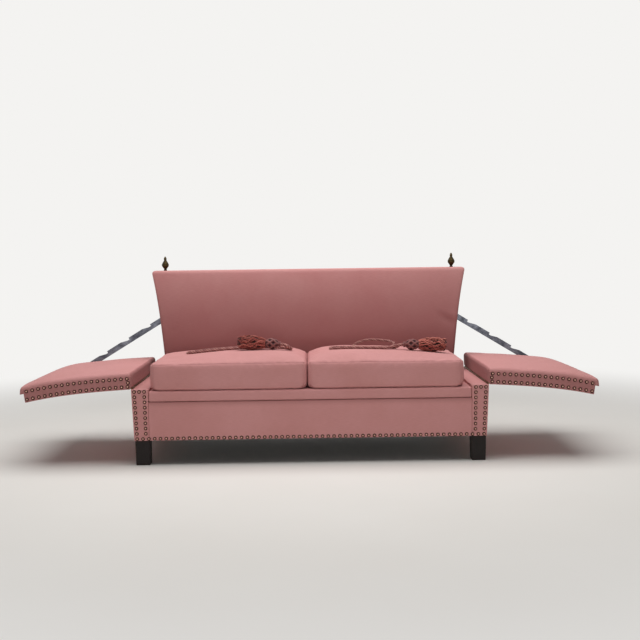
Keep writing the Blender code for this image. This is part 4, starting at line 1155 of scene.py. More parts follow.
@dataclass
class DropArm:
    """One arm, worked out along its length, front to back and through its thickness, then let down."""

    side: Side
    half: float = BoxBase.half
    hinge_height: float = BoxBase.hinge_height
    length: float = 0.466
    thick: float = 0.075
    front: float = BoxBase.front
    rear: float = 0.361
    lean: float = math.radians(7.5)
    curl: float = 0.0263
    swing: float = math.radians(85.8)
    rake: float = 0.22
    lip: float = 0.020
    hinge_gap: float = 0.0006
    crown: float = 0.012
    full_end: float = 0.009
    full_at: float = 0.84
    full_wide: float = 0.2
    edge: float = 0.016
    rim_at: float = 0.985
    rim_wide: float = 0.02
    tip_back: float = 0.008
    tip_wide: float = 0.012
    pad_depth: float = 0.0406
    pad_front: float = 0.0012
    pad_rear: float = 0.0010
    pad_sunk: float = 0.0010
    rumple: float = 0.0012
    rumple_most: float = 0.0004
    cover_depth: float = 0.058
    cover_edge: float = 0.0032
    cover_rear: float = 0.0005
    cover_cuts: tuple[float, ...] = (0.0032, 0.0066, 0.0074, 0.02, 0.034, 0.046, 0.0548)
    eye_depth: float = 0.0070
    eye_cut: float = 0.0056
    top_depth: float = 0.0400
    top_cut: float = 0.0018
    rows: tuple[float, float] = (0.013, 0.049)
    nails_long: int = 18
    nail_start: float = 0.013
    nail_end: float = 0.010
    nail_rake: float = 0.6
    nail_between: float = 0.014
    nail_proud: float = 0.0002

    @property
    def body(self) -> str:
        """The body that the arm's pieces ride on."""
        return f"arm_{self.side.label}"

    def placed(self, along: Array, y: Array, depth: Array) -> Array:
        """Places of points of the arm, let down.

        Raised, the outer face stands at the lean's tangent times the height plus the curl at the cube of
        the share of the length; a depth moves inwards from it. Then the arm turns down about the hinge.

        Args:
            along: distances from the hinge.
            y: front to back.
            depth: depths from the outer face, which is underneath when the arm is down.

        Returns:
            Points in the sofa's frame.
        """
        outer = math.tan(self.lean) * along + self.curl * (along / self.length) ** 3
        slope = math.tan(self.lean) + 3 * self.curl * along**2 / self.length**3
        out = outer - depth * np.hypot(1.0, slope)
        turned = out * math.cos(self.swing) + along * math.sin(self.swing)
        height = along * math.cos(self.swing) - out * math.sin(self.swing)
        return np.column_stack([self.side.value * (self.half + turned), y, self.hinge_height + height])

    def build(self) -> None:
        """Builds every piece of the arm."""
        self.top_pad()
        self.cover()
        self.nails()

    def top_pad(self) -> None:
        """The padded top with its lip: a soft box cut flat underneath, crowned both ways, then bent."""
        tip = self.length + self.rake * self.pad_depth + self.lip
        low = (self.hinge_gap, self.front + self.pad_front, self.pad_depth - self.edge)
        high = (tip, self.rear - self.pad_rear, self.thick)
        surface = soft_box(low, high, self.edge, (52, 84, 2), 5)
        along, y, depth = surface.points.T
        depth = np.maximum(depth, self.pad_depth)
        middle = (low[1] + high[1]) / 2
        station = ramp(np.abs(y - middle), (high[1] - low[1]) / 2)
        share = ramp(along - low[0], tip - self.edge - low[0])
        up = ramp(depth - self.pad_depth, self.thick - self.pad_depth)
        swell = self.crown * pillow(station, 4, 2 * share - 1, 3)
        swell += self.full_end * (1 - station**6) * bell(share - self.full_at, self.full_wide)
        rumple = self.rumple * ripple(np.column_stack([along, y, depth]), 0.13, 30 + self.side.value)
        depth = depth + up * (swell - self.pad_sunk + np.minimum(rumple, self.rumple_most))
        surface.points = self.placed(along, y, depth)
        rim = bell(station - self.rim_at, self.rim_wide) + bell(along - tip + self.tip_back, self.tip_wide)
        wear = 0.5 * up * np.clip(rim, 0, 1)
        # Painted shade where the hinge end and the front roll turn down out of the light
        seam = np.maximum(0.7 * bell(along, 0.010, 4), 0.4 * (surface.share[:, 1] < 0) * (1 - up))
        node = f"arm_pad_{self.side.label}"
        made = Piece(f"arm_top_{self.side.label}", CLOTH, self.body, (node,)).make(surface, wear, seam)

    def cover(self) -> None:
        """The cloth round the arm's frame: a tight box, raked at its end, cut back for the hinge's eyes."""
        low = (self.hinge_gap, self.front, 0.0)
        high = (self.length, self.rear + self.cover_rear, self.cover_depth)
        surface = soft_box(low, high, self.cover_edge, (40, 70, np.array(self.cover_cuts)), 3)
        along, y, depth = surface.points.T
        along = along + self.rake * depth * ramp(along, self.length) ** 6
        along = np.where(depth < self.eye_depth, np.maximum(along, self.eye_cut), along)
        along = np.where(depth > self.top_depth, np.maximum(along, self.top_cut), along)
        surface.points = self.placed(along, y, depth)
        wear = 0.5 * edge_wear(surface.share, 0.02) * (depth < 0.02)
        # Painted shade on the front facing and, deeper, on the hinge end
        seam = np.maximum(0.45 * (surface.share[:, 1] < -0.98), 0.7 * (surface.share[:, 0] < -0.98))
        nodes = (f"arm_under_cover_{self.side.label}", f"arm_band_{self.side.label}")
        made = Piece(f"arm_cover_{self.side.label}", CLOTH, self.body, nodes).make(surface, wear, seam)

    def nails(self) -> None:
        """Two rows of nail heads along the front facing, and one between them at the hinge end."""
        along = np.linspace(self.nail_start, self.length - self.nail_end, self.nails_long)
        spots = []
        for depth in self.rows:
            raked = along + self.rake * depth * self.nail_rake
            spots.append(np.column_stack([raked, np.full_like(along, depth)]))
        spots.append(np.array([(self.nail_between, sum(self.rows) / 2)]))
        along, depth = np.concatenate(spots).T
        places = self.placed(along, np.full(len(along), self.front - self.nail_proud), depth)
        NailTrim().make(f"arm_nails_{self.side.label}", self.body, places)


# Seat cushions


@dataclass
class SeatCushion:
    """A loose box cushion: crowned top, boxing between two seams, swollen by its stuffing."""

    side: Side
    wide: float = 0.703
    deep: float = 0.545
    low: float = 0.3353
    edge: float = 0.120
    crown: float = 0.038
    lean: float = 0.4
    gap: float = 0.003
    shift: float = -0.013
    middle_y: float = -0.104
    corner: float = 0.040
    soft_edge: float = 0.014
    foot: float = 0.036
    draw_in: float = 0.013
    mesh_step: float = 0.0082
    held_width: float = 0.001
    pressure: float = 4.0
    stretch: float = 0.022
    frames: int = 20
    most_swell: float = 0.024
    most_kept: float = 0.012
    kept_across: float = 0.5
    kept_up: float = 0.45
    lain_on: float = 0.055
    slump: float = 0.0016
    seam_sunk: float = 0.0016
    seam_wide: float = 0.004
    pucker_wave: float = 0.034
    gather: float = 0.0011
    gather_wide: float = 0.022
    gather_wave: float = 0.028
    belly: float = 0.0040
    ear: float = 0.16
    ear_lift: float = 0.012
    room_side: float = 0.0005
    room_front: float = 0.0045
    room_top: float = 0.001

    @property
    def middle(self) -> float:
        """Middle of the cushion in X."""
        return self.shift + self.side.value * (self.wide + self.gap) / 2

    @property
    def body(self) -> str:
        """The body that the cushion's pieces ride on."""
        return f"cushion_{self.side.label}"

    def top(self, x: Array, y: Array) -> Array:
        """Height of the crowned top: rounded falls from a peak that lies towards the sofa's middle.

        Args:
            x: places across.
            y: places front to back.

        Returns:
            Heights.
        """
        s = np.clip(self.side.value * (self.middle - x) / (self.wide / 2), -1, 1)
        s = np.abs(s - self.lean) / (1 - self.lean * s)
        t = ramp(np.abs(y - self.middle_y), self.deep / 2)
        return self.low + self.edge + self.crown * (1 - s**2.2) ** 0.75 * (1 - t**2.4) ** 0.6

    def build(self, lying: Array) -> None:
        """Builds the cushion.

        Args:
            lying: points of the rope and tassel that lie on it, where its top keeps its plain height.
        """
        surface = self.sewn()
        node = f"seat_cushion_{self.side.label}"
        flat, share = surface.points.copy(), surface.share
        away = self.from_seam(share)
        piece = Piece(f"box_cushion_{self.side.label}", CLOTH, self.body, (node,))
        made = piece.make(surface, self.rubbed(flat), 0.6 * bell(away, 0.003))
        full = self.stuffed(made, flat, away)
        points = self.settled(full, flat, share, lying)
        made.data.vertices.foreach_set("co", points.astype(np.float32).ravel())
        made.data.update()
        smooth = made.modifiers.new("smooth", "SUBSURF")
        smooth.levels = smooth.render_levels = 1

    def sewn(self) -> Surface:
        """The empty cover: a soft box with rounded corners in plan, its top raised to the crown.

        Returns:
            The surface, with the place of each point in the box.
        """
        count_x, count_y = round(self.wide / self.mesh_step), round(self.deep / self.mesh_step)
        reach = np.array((self.wide, self.deep)) / 2
        low, high = (-reach[0], -reach[1], 0.0), (reach[0], reach[1], self.edge)
        surface = soft_box(low, high, self.soft_edge, (count_x, count_y, 11), 5)
        z = surface.points[:, 2]
        # Corners in plan: points past the corner's core are drawn onto its circle
        core = np.clip(surface.points[:, :2], -(reach - self.corner), reach - self.corner)
        out = surface.points[:, :2] - core
        away = np.linalg.norm(out, axis=1)
        square = np.abs(out).max(axis=1)
        plan = core + out * np.where(away > 1e-9, square / np.maximum(away, 1e-9), 1.0)[:, None]
        x, y = plan[:, 0] + self.middle, plan[:, 1] + self.middle_y
        raised = ramp(z - self.edge + self.soft_edge, self.soft_edge)
        z = self.low + z + raised * (self.top(x, y) - self.low - self.edge)
        surface.points = np.column_stack([x, y, z])
        return surface

    def from_seam(self, share: Array) -> Array:
        """Distance of each point along the cover from the sewn edges round its top and bottom."""
        inset = (1 - np.abs(share)) * np.array((self.wide, self.deep, self.edge)) / 2
        return inset[:, 2] + inset[:, :2].min(axis=1)

    def rubbed(self, points: Array) -> Array:
        """How faded each point is: most along the top's front edge and over the crown."""
        above = points[:, 2] - self.low - self.edge
        return 0.45 * bell(above, 0.010) + 0.25 * ramp(above, self.crown)

    def stuffed(self, made: bpy.types.Object, flat: Array, away: Array) -> Array:
        """Swells the cover with the cloth solver: pressure from inside, no gravity, both seams held.

        Args:
            made: the cushion's object.
            flat: its points before.
            away: distance of each point from the seams.

        Returns:
            Its points after the last frame, none further than the most swell from where it began.
        """
        held = made.vertex_groups.new(name="sewn")
        held.add(np.flatnonzero(away < self.held_width).tolist(), 1.0, "REPLACE")
        cloth = made.modifiers.new("stuffing", "CLOTH")
        cloth.settings.use_pressure = True
        cloth.settings.uniform_pressure_force = self.pressure
        cloth.settings.effector_weights.gravity = 0.0
        cloth.settings.vertex_group_mass = held.name
        cloth.settings.shrink_min = -self.stretch
        cloth.settings.quality = 4
        cloth.point_cache.frame_start, cloth.point_cache.frame_end = 1, self.frames
        scene = bpy.context.scene
        for frame in range(1, self.frames + 1):
            scene.frame_set(frame)
        shaped = made.evaluated_get(bpy.context.evaluated_depsgraph_get())
        move = read(shaped.data.vertices, "co", np.float32, 3) - flat
        made.modifiers.remove(cloth)
        made.vertex_groups.remove(held)
        scene.frame_set(1)
        far = np.linalg.norm(move, axis=1, keepdims=True)
        return flat + move * np.minimum(1, self.most_swell / np.maximum(far, 1e-9))

    def settled(self, full: Array, flat: Array, share: Array, lying: Array) -> Array:
        """The cushion at rest: kept in its place between its neighbours, its seams drawn in.

        The top keeps its plain height under what lies on it, by a bell curve of the distance, and elsewhere
        stands off it by what the stuffing moved, within a few millimetres. The cover sinks at the seams by
        an uneven pucker, the front swells forward, the boxing's foot draws in by a quarter ellipse and the
        bottom lies flat.

        Args:
            full: points after the stuffing.
            flat: points before it.
            share: place of each point in the box.
            lying: points of what lies on the cushion.

        Returns:
            The settled points.
        """
        across, deep, up = share.T
        near = np.sqrt(((flat[:, None, :2] - lying[None, :, :2]) ** 2).sum(axis=2).min(axis=1))
        bare = 1 - bell(near, self.lain_on, 4)
        kept = np.full_like(flat, self.kept_across)
        kept[:, 2] = self.kept_up * bare
        points = flat + np.clip(full - flat, -self.most_kept, self.most_kept) * kept
        slump = ramp(up - 0.9, 0.1) * bare * self.slump
        points[:, 2] -= slump * (1 + ripple(flat, 0.15, 40 + self.side.value))
        away = self.from_seam(share)
        inward = -np.where(np.abs(share) > 0.985, np.sign(share), 0.0) / math.sqrt(2)
        pucker = 1 + 0.7 * ripple(flat * (1, 1, 0.2), self.pucker_wave, 50)
        points += inward * (self.seam_sunk * bell(away, self.seam_wide) * pucker)[:, None]
        gather = self.gather * bell(away, self.gather_wide) * ripple(flat * (1, 1, 0.3), self.gather_wave, 51)
        points += inward * (gather * (away > 0.002))[:, None]
        belly = (deep < -0.99) * self.belly * np.clip(pillow(up, 2, across, 6), 0, 1)
        points[:, 1] -= belly * (1 + 0.4 * ripple(flat, 0.12, 44))
        corner = ramp(np.abs(share[:, :2]) - 1 + self.ear, self.ear)
        points[:, 2] += self.ear_lift * (corner[:, 0] ** 2 * corner[:, 1]) * np.clip(-up, 0, 1)
        reach = np.array((self.wide, self.deep)) / 2
        low, high = (self.middle, self.middle_y) - reach, (self.middle, self.middle_y) + reach
        under = np.clip(1 - (points[:, 2] - self.low) / self.foot, 0, 1)
        inset = self.draw_in * (1 - np.sqrt(1 - under**2))
        left, right = low[0] - self.room_side + inset, high[0] + self.room_side - inset
        points[:, 0] = np.clip(points[:, 0], left, right)
        points[:, 1] = np.clip(points[:, 1], low[1] - self.room_front + inset, high[1] - inset)
        points[:, 2] = np.clip(points[:, 2], self.low, self.low + self.edge + self.crown + self.room_top)
        return points


# Rope ties


# Where each tassel's collar lies across its cushion, from the cushion's middle
COLLAR_AT: dict[Side, float] = {Side.LEFT: 0.230, Side.RIGHT: 0.099}

# Points that each rope passes, from its cushion's middle, with the height above where it would lie
ROUTES: dict[Side, list[Point]] = {
    Side.LEFT: [
        (0.270, -0.033, 0.010), (0.280, -0.0085, 0.003), (0.270, 0.016, 0), (0.245, 0.0265, 0),
        (0.150, 0.028, 0), (0.040, 0.026, 0.002), (-0.060, 0.027, 0.003), (-0.140, 0.031, 0.002),
        (-0.188, 0.0305, 0), (-0.205, 0.0235, 0), (-0.212, 0.0065, 0), (-0.205, -0.0105, 0),
        (-0.188, -0.0175, 0), (-0.140, -0.013, 0), (-0.100, -0.006, 0), (-0.040, 0.006, 0),
        (0.030, 0.0125, 0), (0.120, 0.0135, 0), (0.200, 0.0135, 0), (0.240, 0.0135, 0.002),
        (0.2606, 0.0071, 0.006), (0.267, -0.0085, 0.012), (0.2606, -0.0241, 0.017),
    ],
    Side.RIGHT: [
        (0.060, -0.046, 0.012), (0.010, -0.056, 0), (-0.070, -0.060, 0), (-0.150, -0.058, 0),
        (-0.2215, -0.052, 0), (-0.2385, -0.045, 0), (-0.2455, -0.028, 0), (-0.2385, -0.011, 0),
        (-0.2215, -0.004, 0), (-0.190, -0.010, 0), (-0.150, -0.028, 0), (-0.100, -0.040, 0),
        (-0.040, -0.042, 0), (0.000, -0.039, 0), (0.030, -0.036, 0.002), (0.050, -0.028, 0.008),
        (0.058, -0.008, 0.018), (0.050, 0.012, 0.024), (0.030, 0.020, 0.027), (-0.020, 0.026, 0.030),
        (-0.070, 0.026, 0.028), (-0.100, 0.0235, 0.020), (-0.112, 0.022, 0.016), (-0.129, 0.015, 0.006),
        (-0.135, -0.001, 0), (-0.129, -0.017, 0), (-0.112, -0.0235, 0), (-0.060, -0.0245, 0),
        (0.000, -0.016, 0), (0.035, -0.010, 0), (0.060, -0.0155, 0), (0.078, -0.0265, 0.011),
    ],
}


def gone(points: Array) -> Array:
    """Distance gone along a line at each of its points."""
    return np.concatenate([[0], np.cumsum(np.linalg.norm(np.diff(points, axis=0), axis=1))])


def smooth_line(points: Array, step: float) -> Array:
    """Even points on a smooth curve through the given ones: a cubic between each two, by their neighbours.

    Args:
        points: points that the curve passes.
        step: distance between the new points.

    Returns:
        The new points.
    """
    points = np.vstack([2 * points[0] - points[1], points, 2 * points[-1] - points[-2]])
    a, b, c, d = (points[i : len(points) - 3 + i, None] for i in range(4))
    t = np.linspace(0, 1, 40, endpoint=False)[None, :, None]
    bend = (2 * a - 5 * b + 4 * c - d) * t**2 + (3 * b - a - 3 * c + d) * t**3
    fine = np.vstack([(b + (c - a) * t / 2 + bend / 2).reshape(-1, 3), points[-2]])
    along = gone(fine)
    even = np.linspace(0, along[-1], round(along[-1] / step) + 1)
    return np.column_stack([np.interp(even, along, fine[:, axis]) for axis in range(3)])


@dataclass
class RopeTie:
    """A twisted rope that lies doubled on its cushion, both ends in the collar of a knotted tassel."""

    cushion: SeatCushion
    rope: float = 0.011
    step: float = 0.028
    fine_step: float = 0.0024
    apart: float = 0.013
    end_gap: float = 0.0003
    lead: float = 0.010
    clear: float = 0.0003
    pitch: float = 0.036
    strand: float = 0.0031
    strand_off: float = 0.0033
    strand_sunk: float = 0.0021
    collar: float = 0.0135
    collar_long: float = 0.008
    collar_thread: float = 0.0027
    knot_long: float = 0.067
    knot_wide: float = 0.053
    knot_least: float = 0.011
    plaits: float = 2.5
    plait_pitch: float = 0.034
    plait_sunk: float = 0.16
    skirt_long: float = 0.135
    skirt_wide: float = 0.075
    skirt_widest: float = 0.75
    skirt_tuck: float = 0.004
    tassel_depth: float = -0.037
    fringes: int = 45
    ply: float = 0.0023
    ply_off: float = 0.0021
    ply_pitch: float = 0.017
    ply_reach: float = 0.0034
    ply_sunk: float = 0.0058
    core: float = 0.72
    head: Array = field(init=False)
    tilt: float = field(init=False)
    points: Array = field(init=False)

    def __post_init__(self) -> None:
        """Works out where the tassel lies and which way the rope runs."""
        side = self.cushion.side
        neck = self.collar_long + self.knot_long
        knot_at = self.collar_long + self.knot_long / 2
        skirt_at = neck + self.skirt_widest * self.skirt_long
        skirt = [(0.0, 1.0), (0.8, 1.0), (1.0, self.skirt_widest), (0.92, 0.45), (0.68, 0.12), (0.55, 0.0)]
        profile = [(self.skirt_wide / 2 * share, neck + self.skirt_long * along) for share, along in skirt]
        for angle in np.radians((30, 60, 90, 120, 150)):
            across, along = self.knot_wide / 2 * math.sin(angle), self.knot_long / 2 * math.cos(angle)
            profile.append((across, knot_at + along))
        profile += [(self.collar, self.collar_long), (self.collar, 0.0), (0.0, 0.0)]
        radii, along = np.array(profile).T
        x = self.cushion.middle + COLLAR_AT[side]
        y = self.cushion.middle_y + self.tassel_depth
        axis = self.cushion.top(x + side.value * along, np.full_like(along, y)) + radii
        under_skirt, under_knot = np.interp((skirt_at, knot_at), along[::-1], axis[::-1])
        rise = (under_skirt - under_knot) / (skirt_at - knot_at)
        self.tilt = math.atan(rise)
        self.head = np.array((x, y, (axis - rise * along).max() + self.clear))
        self.points = self.route()

    def lying(self, points: Array) -> Array:
        """Height at which the rope's middle lies on the cushion."""
        return self.cushion.top(points[:, 0], points[:, 1]) + self.rope / 2 + self.clear

    def route(self) -> Array:
        """The rope's own line: straight out of the collar, round its loops and back, never below lying.

        Returns:
            Its points, the same as the solid's.
        """
        side = self.cushion.side.value
        out = np.array((-side * math.cos(self.tilt), 0.0, -math.sin(self.tilt)))
        way = np.array(ROUTES[self.cushion.side], float) + (self.cushion.middle, self.cushion.middle_y, 0.0)
        way[:, 2] += self.lying(way)
        ends = self.head + out * self.end_gap + np.outer((-1, 1), (0.0, self.apart / 2, 0.0))
        leads = ends + out * self.lead
        points = smooth_line(np.vstack([leads[0], way, leads[1]]), self.step)
        points = np.vstack([ends[0], points, ends[1]])
        points[:, 2] = np.maximum(points[:, 2], self.lying(points))
        return points

    def local(self, along: Array, up: Array, across: Array) -> Array:
        """Places of the tassel's own points: along its axis, up from it and across it.

        Args:
            along: distances from the collar's face.
            up: heights from the axis, square to it.
            across: front to back from the axis.

        Returns:
            Points in the sofa's frame, none below the cushion's top.
        """
        side = self.cushion.side.value
        ahead = np.array((side * math.cos(self.tilt), 0.0, math.sin(self.tilt)))
        above = np.array((-side * math.sin(self.tilt), 0.0, math.cos(self.tilt)))
        points = self.head + along[..., None] * ahead + up[..., None] * above
        points = points + across[..., None] * np.array((0.0, 1.0, 0.0))
        least = self.cushion.top(points[..., 0], points[..., 1]) + self.clear
        points[..., 2] = np.maximum(points[..., 2], least)
        return points

    def weight(self) -> Array:
        """Points of the rope and of the tassel's axis, under which the cushion keeps its plain height."""
        along = np.linspace(0.0, self.collar_long + self.knot_long + self.skirt_long, 12)
        return np.vstack([self.points, self.local(along, 0 * along, 0 * along)])

    def build(self) -> None:
        tassel = f"tassel_{self.cushion.side.label}"
        self.knot(tassel)
        self.skirt(tassel)
        self.twisted()

    def twisted(self) -> None:
        """The rope: three strands, each a tube carried along a helix about the rope's line."""
        line = smooth_line(self.points, self.fine_step)
        line[:, 2] = np.maximum(line[:, 2], self.lying(line) - self.clear / 2)
        ahead = np.gradient(line, axis=0)
        ahead /= np.linalg.norm(ahead, axis=1, keepdims=True)
        across = np.cross((0.0, 0.0, 1.0), ahead)
        across /= np.linalg.norm(across, axis=1, keepdims=True)
        above = np.cross(ahead, across)
        shades = (0.15, 0.55, 0.9)
        strand = circle(len(shades))[:, None] + 2 * math.pi * gone(line) / self.pitch
        spiral = np.cos(strand)[..., None] * across + np.sin(strand)[..., None] * above
        centre = line + self.strand_off * spiral
        angle = circle(9)
        ring = np.cos(angle)[:, None] * across[:, None] + np.sin(angle)[:, None] * above[:, None]
        place = centre[:, :, None] + self.strand * ring[None]
        shade = np.repeat(shades, len(line) * len(angle))
        # Painted shade in the crevices between the strands
        inward = np.linalg.norm(place - line[None, :, None], axis=3).ravel()
        crevice_shade = ramp(self.rope / 2 - inward, self.strand_sunk)
        label = self.cushion.side.label
        piece = Piece(f"rope_tie_{label}", ROPE_YARN, self.cushion.body, (f"rope_{label}",))
        made = piece.make(tubes(place), shade, crevice_shade)

    def knot(self, tassel: str) -> None:
        """The tassel's head: a collar wound with thread and an egg-shaped knot with plaited bulges.

        The knot's radius is an ellipse along its axis, raised where either of two crossing helices runs.

        Args:
            tassel: name of the solid.
        """
        collar = np.linspace(0.0002, self.collar_long, 14)
        knot = np.linspace(self.collar_long + 0.0008, self.collar_long + self.knot_long, 56)
        along = np.concatenate([collar, knot])
        ball = 1 - ((along - self.collar_long - self.knot_long / 2) / (self.knot_long / 2)) ** 2
        egg = self.knot_wide / 2 * np.sqrt(np.clip(ball, 0, None))
        wound = self.collar * (0.95 + 0.05 * np.cos(2 * math.pi * along / self.collar_thread))
        radius = np.where(along <= self.collar_long, wound, np.maximum(egg, self.knot_least))[:, None]
        angle = circle(72)[None]
        turn = (along / self.plait_pitch)[:, None] * math.pi
        lays = np.sin(self.plaits * angle + turn), np.sin(self.plaits * angle - turn)
        plait = np.maximum(np.abs(lays[0]), np.abs(lays[1]))
        on_knot = (along > self.collar_long)[:, None] * np.clip(ball, 0, 1)[:, None] ** 0.3
        radius = radius * (1 - on_knot * self.plait_sunk * (1 - plait) / 0.35)
        radius[[0, -1]] *= 0.7
        rings = self.local(along[:, None] + 0 * angle, radius * np.cos(angle), radius * np.sin(angle))
        # A deeper tone all over, painted shade between the plaits, and a painted highlight on their tops
        deep = (0.35 + 0.6 * on_knot * ramp(0.93 - plait, 0.22)).ravel()
        shade = (0.3 * on_knot * plait**6).ravel()
        Piece(f"{tassel}_knot", ROPE_YARN, self.cushion.body, (tassel,)).make(tubes(rings[None]), shade, deep)

    def skirt(self, tassel: str) -> None:
        """The skirt: two-ply twisted fringe laid round a core, spreading from the neck and lying on the seat.

        Each ply is a tube along a helix about its fringe's line. Each line follows the skirt's profile in a
        loose corkscrew, so that the fringes cross each other.

        Args:
            tassel: name of the solid.
        """
        chance = np.random.default_rng(60 + self.cushion.side.value)
        neck, rings, count = self.collar_long + self.knot_long, 44, self.fringes
        share = np.linspace(0, 1, rings)
        bends = (0, 0.12, 0.38, 0.62, 0.78, 0.9, 1.0)
        spread = np.interp(share, bends, (0.55, 0.76, 0.97, 1.0, 0.95, 0.80, 0.45)) * self.skirt_wide / 2
        reach = np.interp(share, bends, (0, 0.14, 0.44, 0.72, 0.89, 0.98, 1.0))
        # Every third fringe lies under the others
        under = np.arange(count) % 3 == 2
        layer = np.where(under, self.core, 0.90)[:, None]
        around = (np.arange(count) + chance.uniform(-0.3, 0.3, count)) * 2 * math.pi / count
        sway = chance.uniform(-1, 1, (3, count, 1))
        curl = np.interp(share, (0, 0.12, 0.35, 1), (0, 0.3, 1, 1))
        turns = 15 * share * (1 + 0.3 * sway[2]) + 6 * sway[1]
        angle = around[:, None] + 0.22 * sway[0] * np.sin(5 * share) + 0.22 * curl * np.sin(turns)
        radius = spread * layer * (1 - 0.09 * share - 0.10 * curl * (1 + np.cos(turns)))
        long = self.skirt_long * chance.uniform(0.82, 1.0, count)[:, None]
        along = neck - self.skirt_tuck + long * reach
        size = np.interp(share, (0, 0.3, 1), (0.55, 0.95, 1.0))
        twist = 2 * math.pi * long * share / self.ply_pitch + np.arange(2)[:, None, None] * math.pi
        ply_r = radius[None] + self.ply_off * size * np.cos(twist)
        ply_a = angle[None] + self.ply_off * size * np.sin(twist) / radius[None]
        tube = circle(6)
        grown = self.ply * size[:, None]
        r = ply_r[..., None] + grown * np.cos(tube)
        a = ply_a[..., None] + grown * np.sin(tube) / radius[None, ..., None]
        place = self.local(along[None, ..., None] + 0 * r, r * np.cos(a), r * np.sin(a))
        fringe = tubes(place.reshape(-1, rings, len(tube), 3))
        shade = np.repeat(np.tile(chance.choice((0.15, 0.55, 1.0), count), 2), rings * len(tube))
        # Painted shade: deeper between the plies and on the fringes that lie under the others
        sunk_shade = (radius + self.ply_reach * size)[None, ..., None] - r
        sunk_shade = np.clip(sunk_shade / self.ply_sunk + 0.35 * under[None, :, None, None], 0, 1).ravel()
        # The core is painted wholly in the deep colour: a painted shadow filling the gaps between the fringes
        core_along = neck - self.skirt_tuck + self.skirt_long * np.linspace(0, 0.80, 16)[:, None]
        ring = circle(32)[None]
        core_r = np.interp(np.linspace(0, 0.95, 16), share, spread)[:, None] * self.core
        core = tubes(self.local(core_along + 0 * ring, core_r * np.cos(ring), core_r * np.sin(ring))[None])
        shade = np.concatenate([shade, np.zeros(len(core.points))])
        deep = np.concatenate([sunk_shade, np.ones(len(core.points))])
        Piece(f"{tassel}_skirt", BULLION, self.cushion.body).make(joined([fringe, core]), shade, deep)


# Webbing and plain solids


@dataclass
class Webbing:
    """Jute straps that pass over and under each other, under the seat and behind the back's stuffing."""

    strap: float = 0.055
    pitch: float = 0.140
    thick: float = 0.0009
    edge: float = 0.45

    def build(self) -> None:
        """Builds both sets of straps."""
        self.lattice("seat_webbing", "seat_straps", (0, 1, 2))
        self.lattice("back_webbing", "back_straps", (0, 2, 1))

    def lattice(self, node: str, name: str, axes: tuple[int, int, int]) -> None:
        """A lattice of straps in a plane: each is a flat soft box that rises and falls by a cosine.

        Args:
            node: the solid that it stands for.
            name: the piece's name.
            axes: the two axes of the plane and the one through it.
        """
        low, high = corners_of(node)
        first, second, through = axes
        middle = (low[through] + high[through]) / 2
        straps = []
        for run, over in ((first, second), (second, first)):
            room = (high[over] - low[over] - self.strap) / 2
            count = int(room / self.pitch)
            for number in range(-count, count + 1):
                centre = (low[over] + high[over]) / 2 + number * self.pitch
                start, end = low.copy(), high.copy()
                start[over], end[over] = centre - self.strap / 2, centre + self.strap / 2
                start[through], end[through] = -self.thick / 2, self.thick / 2
                cuts = [1, 1, 1]
                cuts[run] = 120
                strap = soft_box(start, end, self.thick * self.edge, cuts, 1)
                # Odd straps go over where even ones go under
                turn = number + (run == first)
                wave = np.cos(math.pi * (strap.points[:, run] / self.pitch + turn))
                strap.points[:, through] += middle + 0.5 * self.thick * wave
                straps.append(strap)
        made = Piece(name, JUTE, "sofa", (node,)).make(joined(straps))


@dataclass
class PlainSolids:
    """The solids that show as they are: timber, ratchets and hinges, each in its own finish."""

    rails: tuple[str, ...] = ("front_rail", "rear_rail", "back_top_rail", "back_bottom_rail")
    frames: tuple[str, ...] = ("side_frame", "arm_frame", "centre_stretcher")
    posts: tuple[str, ...] = ("back_post", "back_strut")
    pegs: tuple[str, ...] = ("arm_peg",)
    ratchets: tuple[str, ...] = ("keeper", "pawl", "bar_pivot", "ratchet_bar")
    hinges: tuple[str, ...] = ("hinge_base_leaf", "hinge_arm_leaf", "hinge_pin")

    def dress(self, nodes: dict[str, bpy.types.Object]) -> None:
        """Gives each solid that shows its finish.

        Args:
            nodes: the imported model's solids by name.
        """
        finishes: dict[str, Finish] = {
            **dict.fromkeys(self.rails + self.frames, BEECH),
            **dict.fromkeys(self.posts, POST_BEECH),
            **dict.fromkeys(self.pegs, STAINED),
            **dict.fromkeys(self.ratchets, STEEL),
            **dict.fromkeys(self.hinges, HINGE),
        }
        for name, solid in nodes.items():
            finish = finishes.get(name.removesuffix("_left").removesuffix("_right"))
            if finish is None or solid.hide_render:
                continue
            solid.data.materials.clear()
            solid.data.materials.append(finish.material())
            LOG.info("%s shows as it is, in %s", name, finish.name)


# Studio


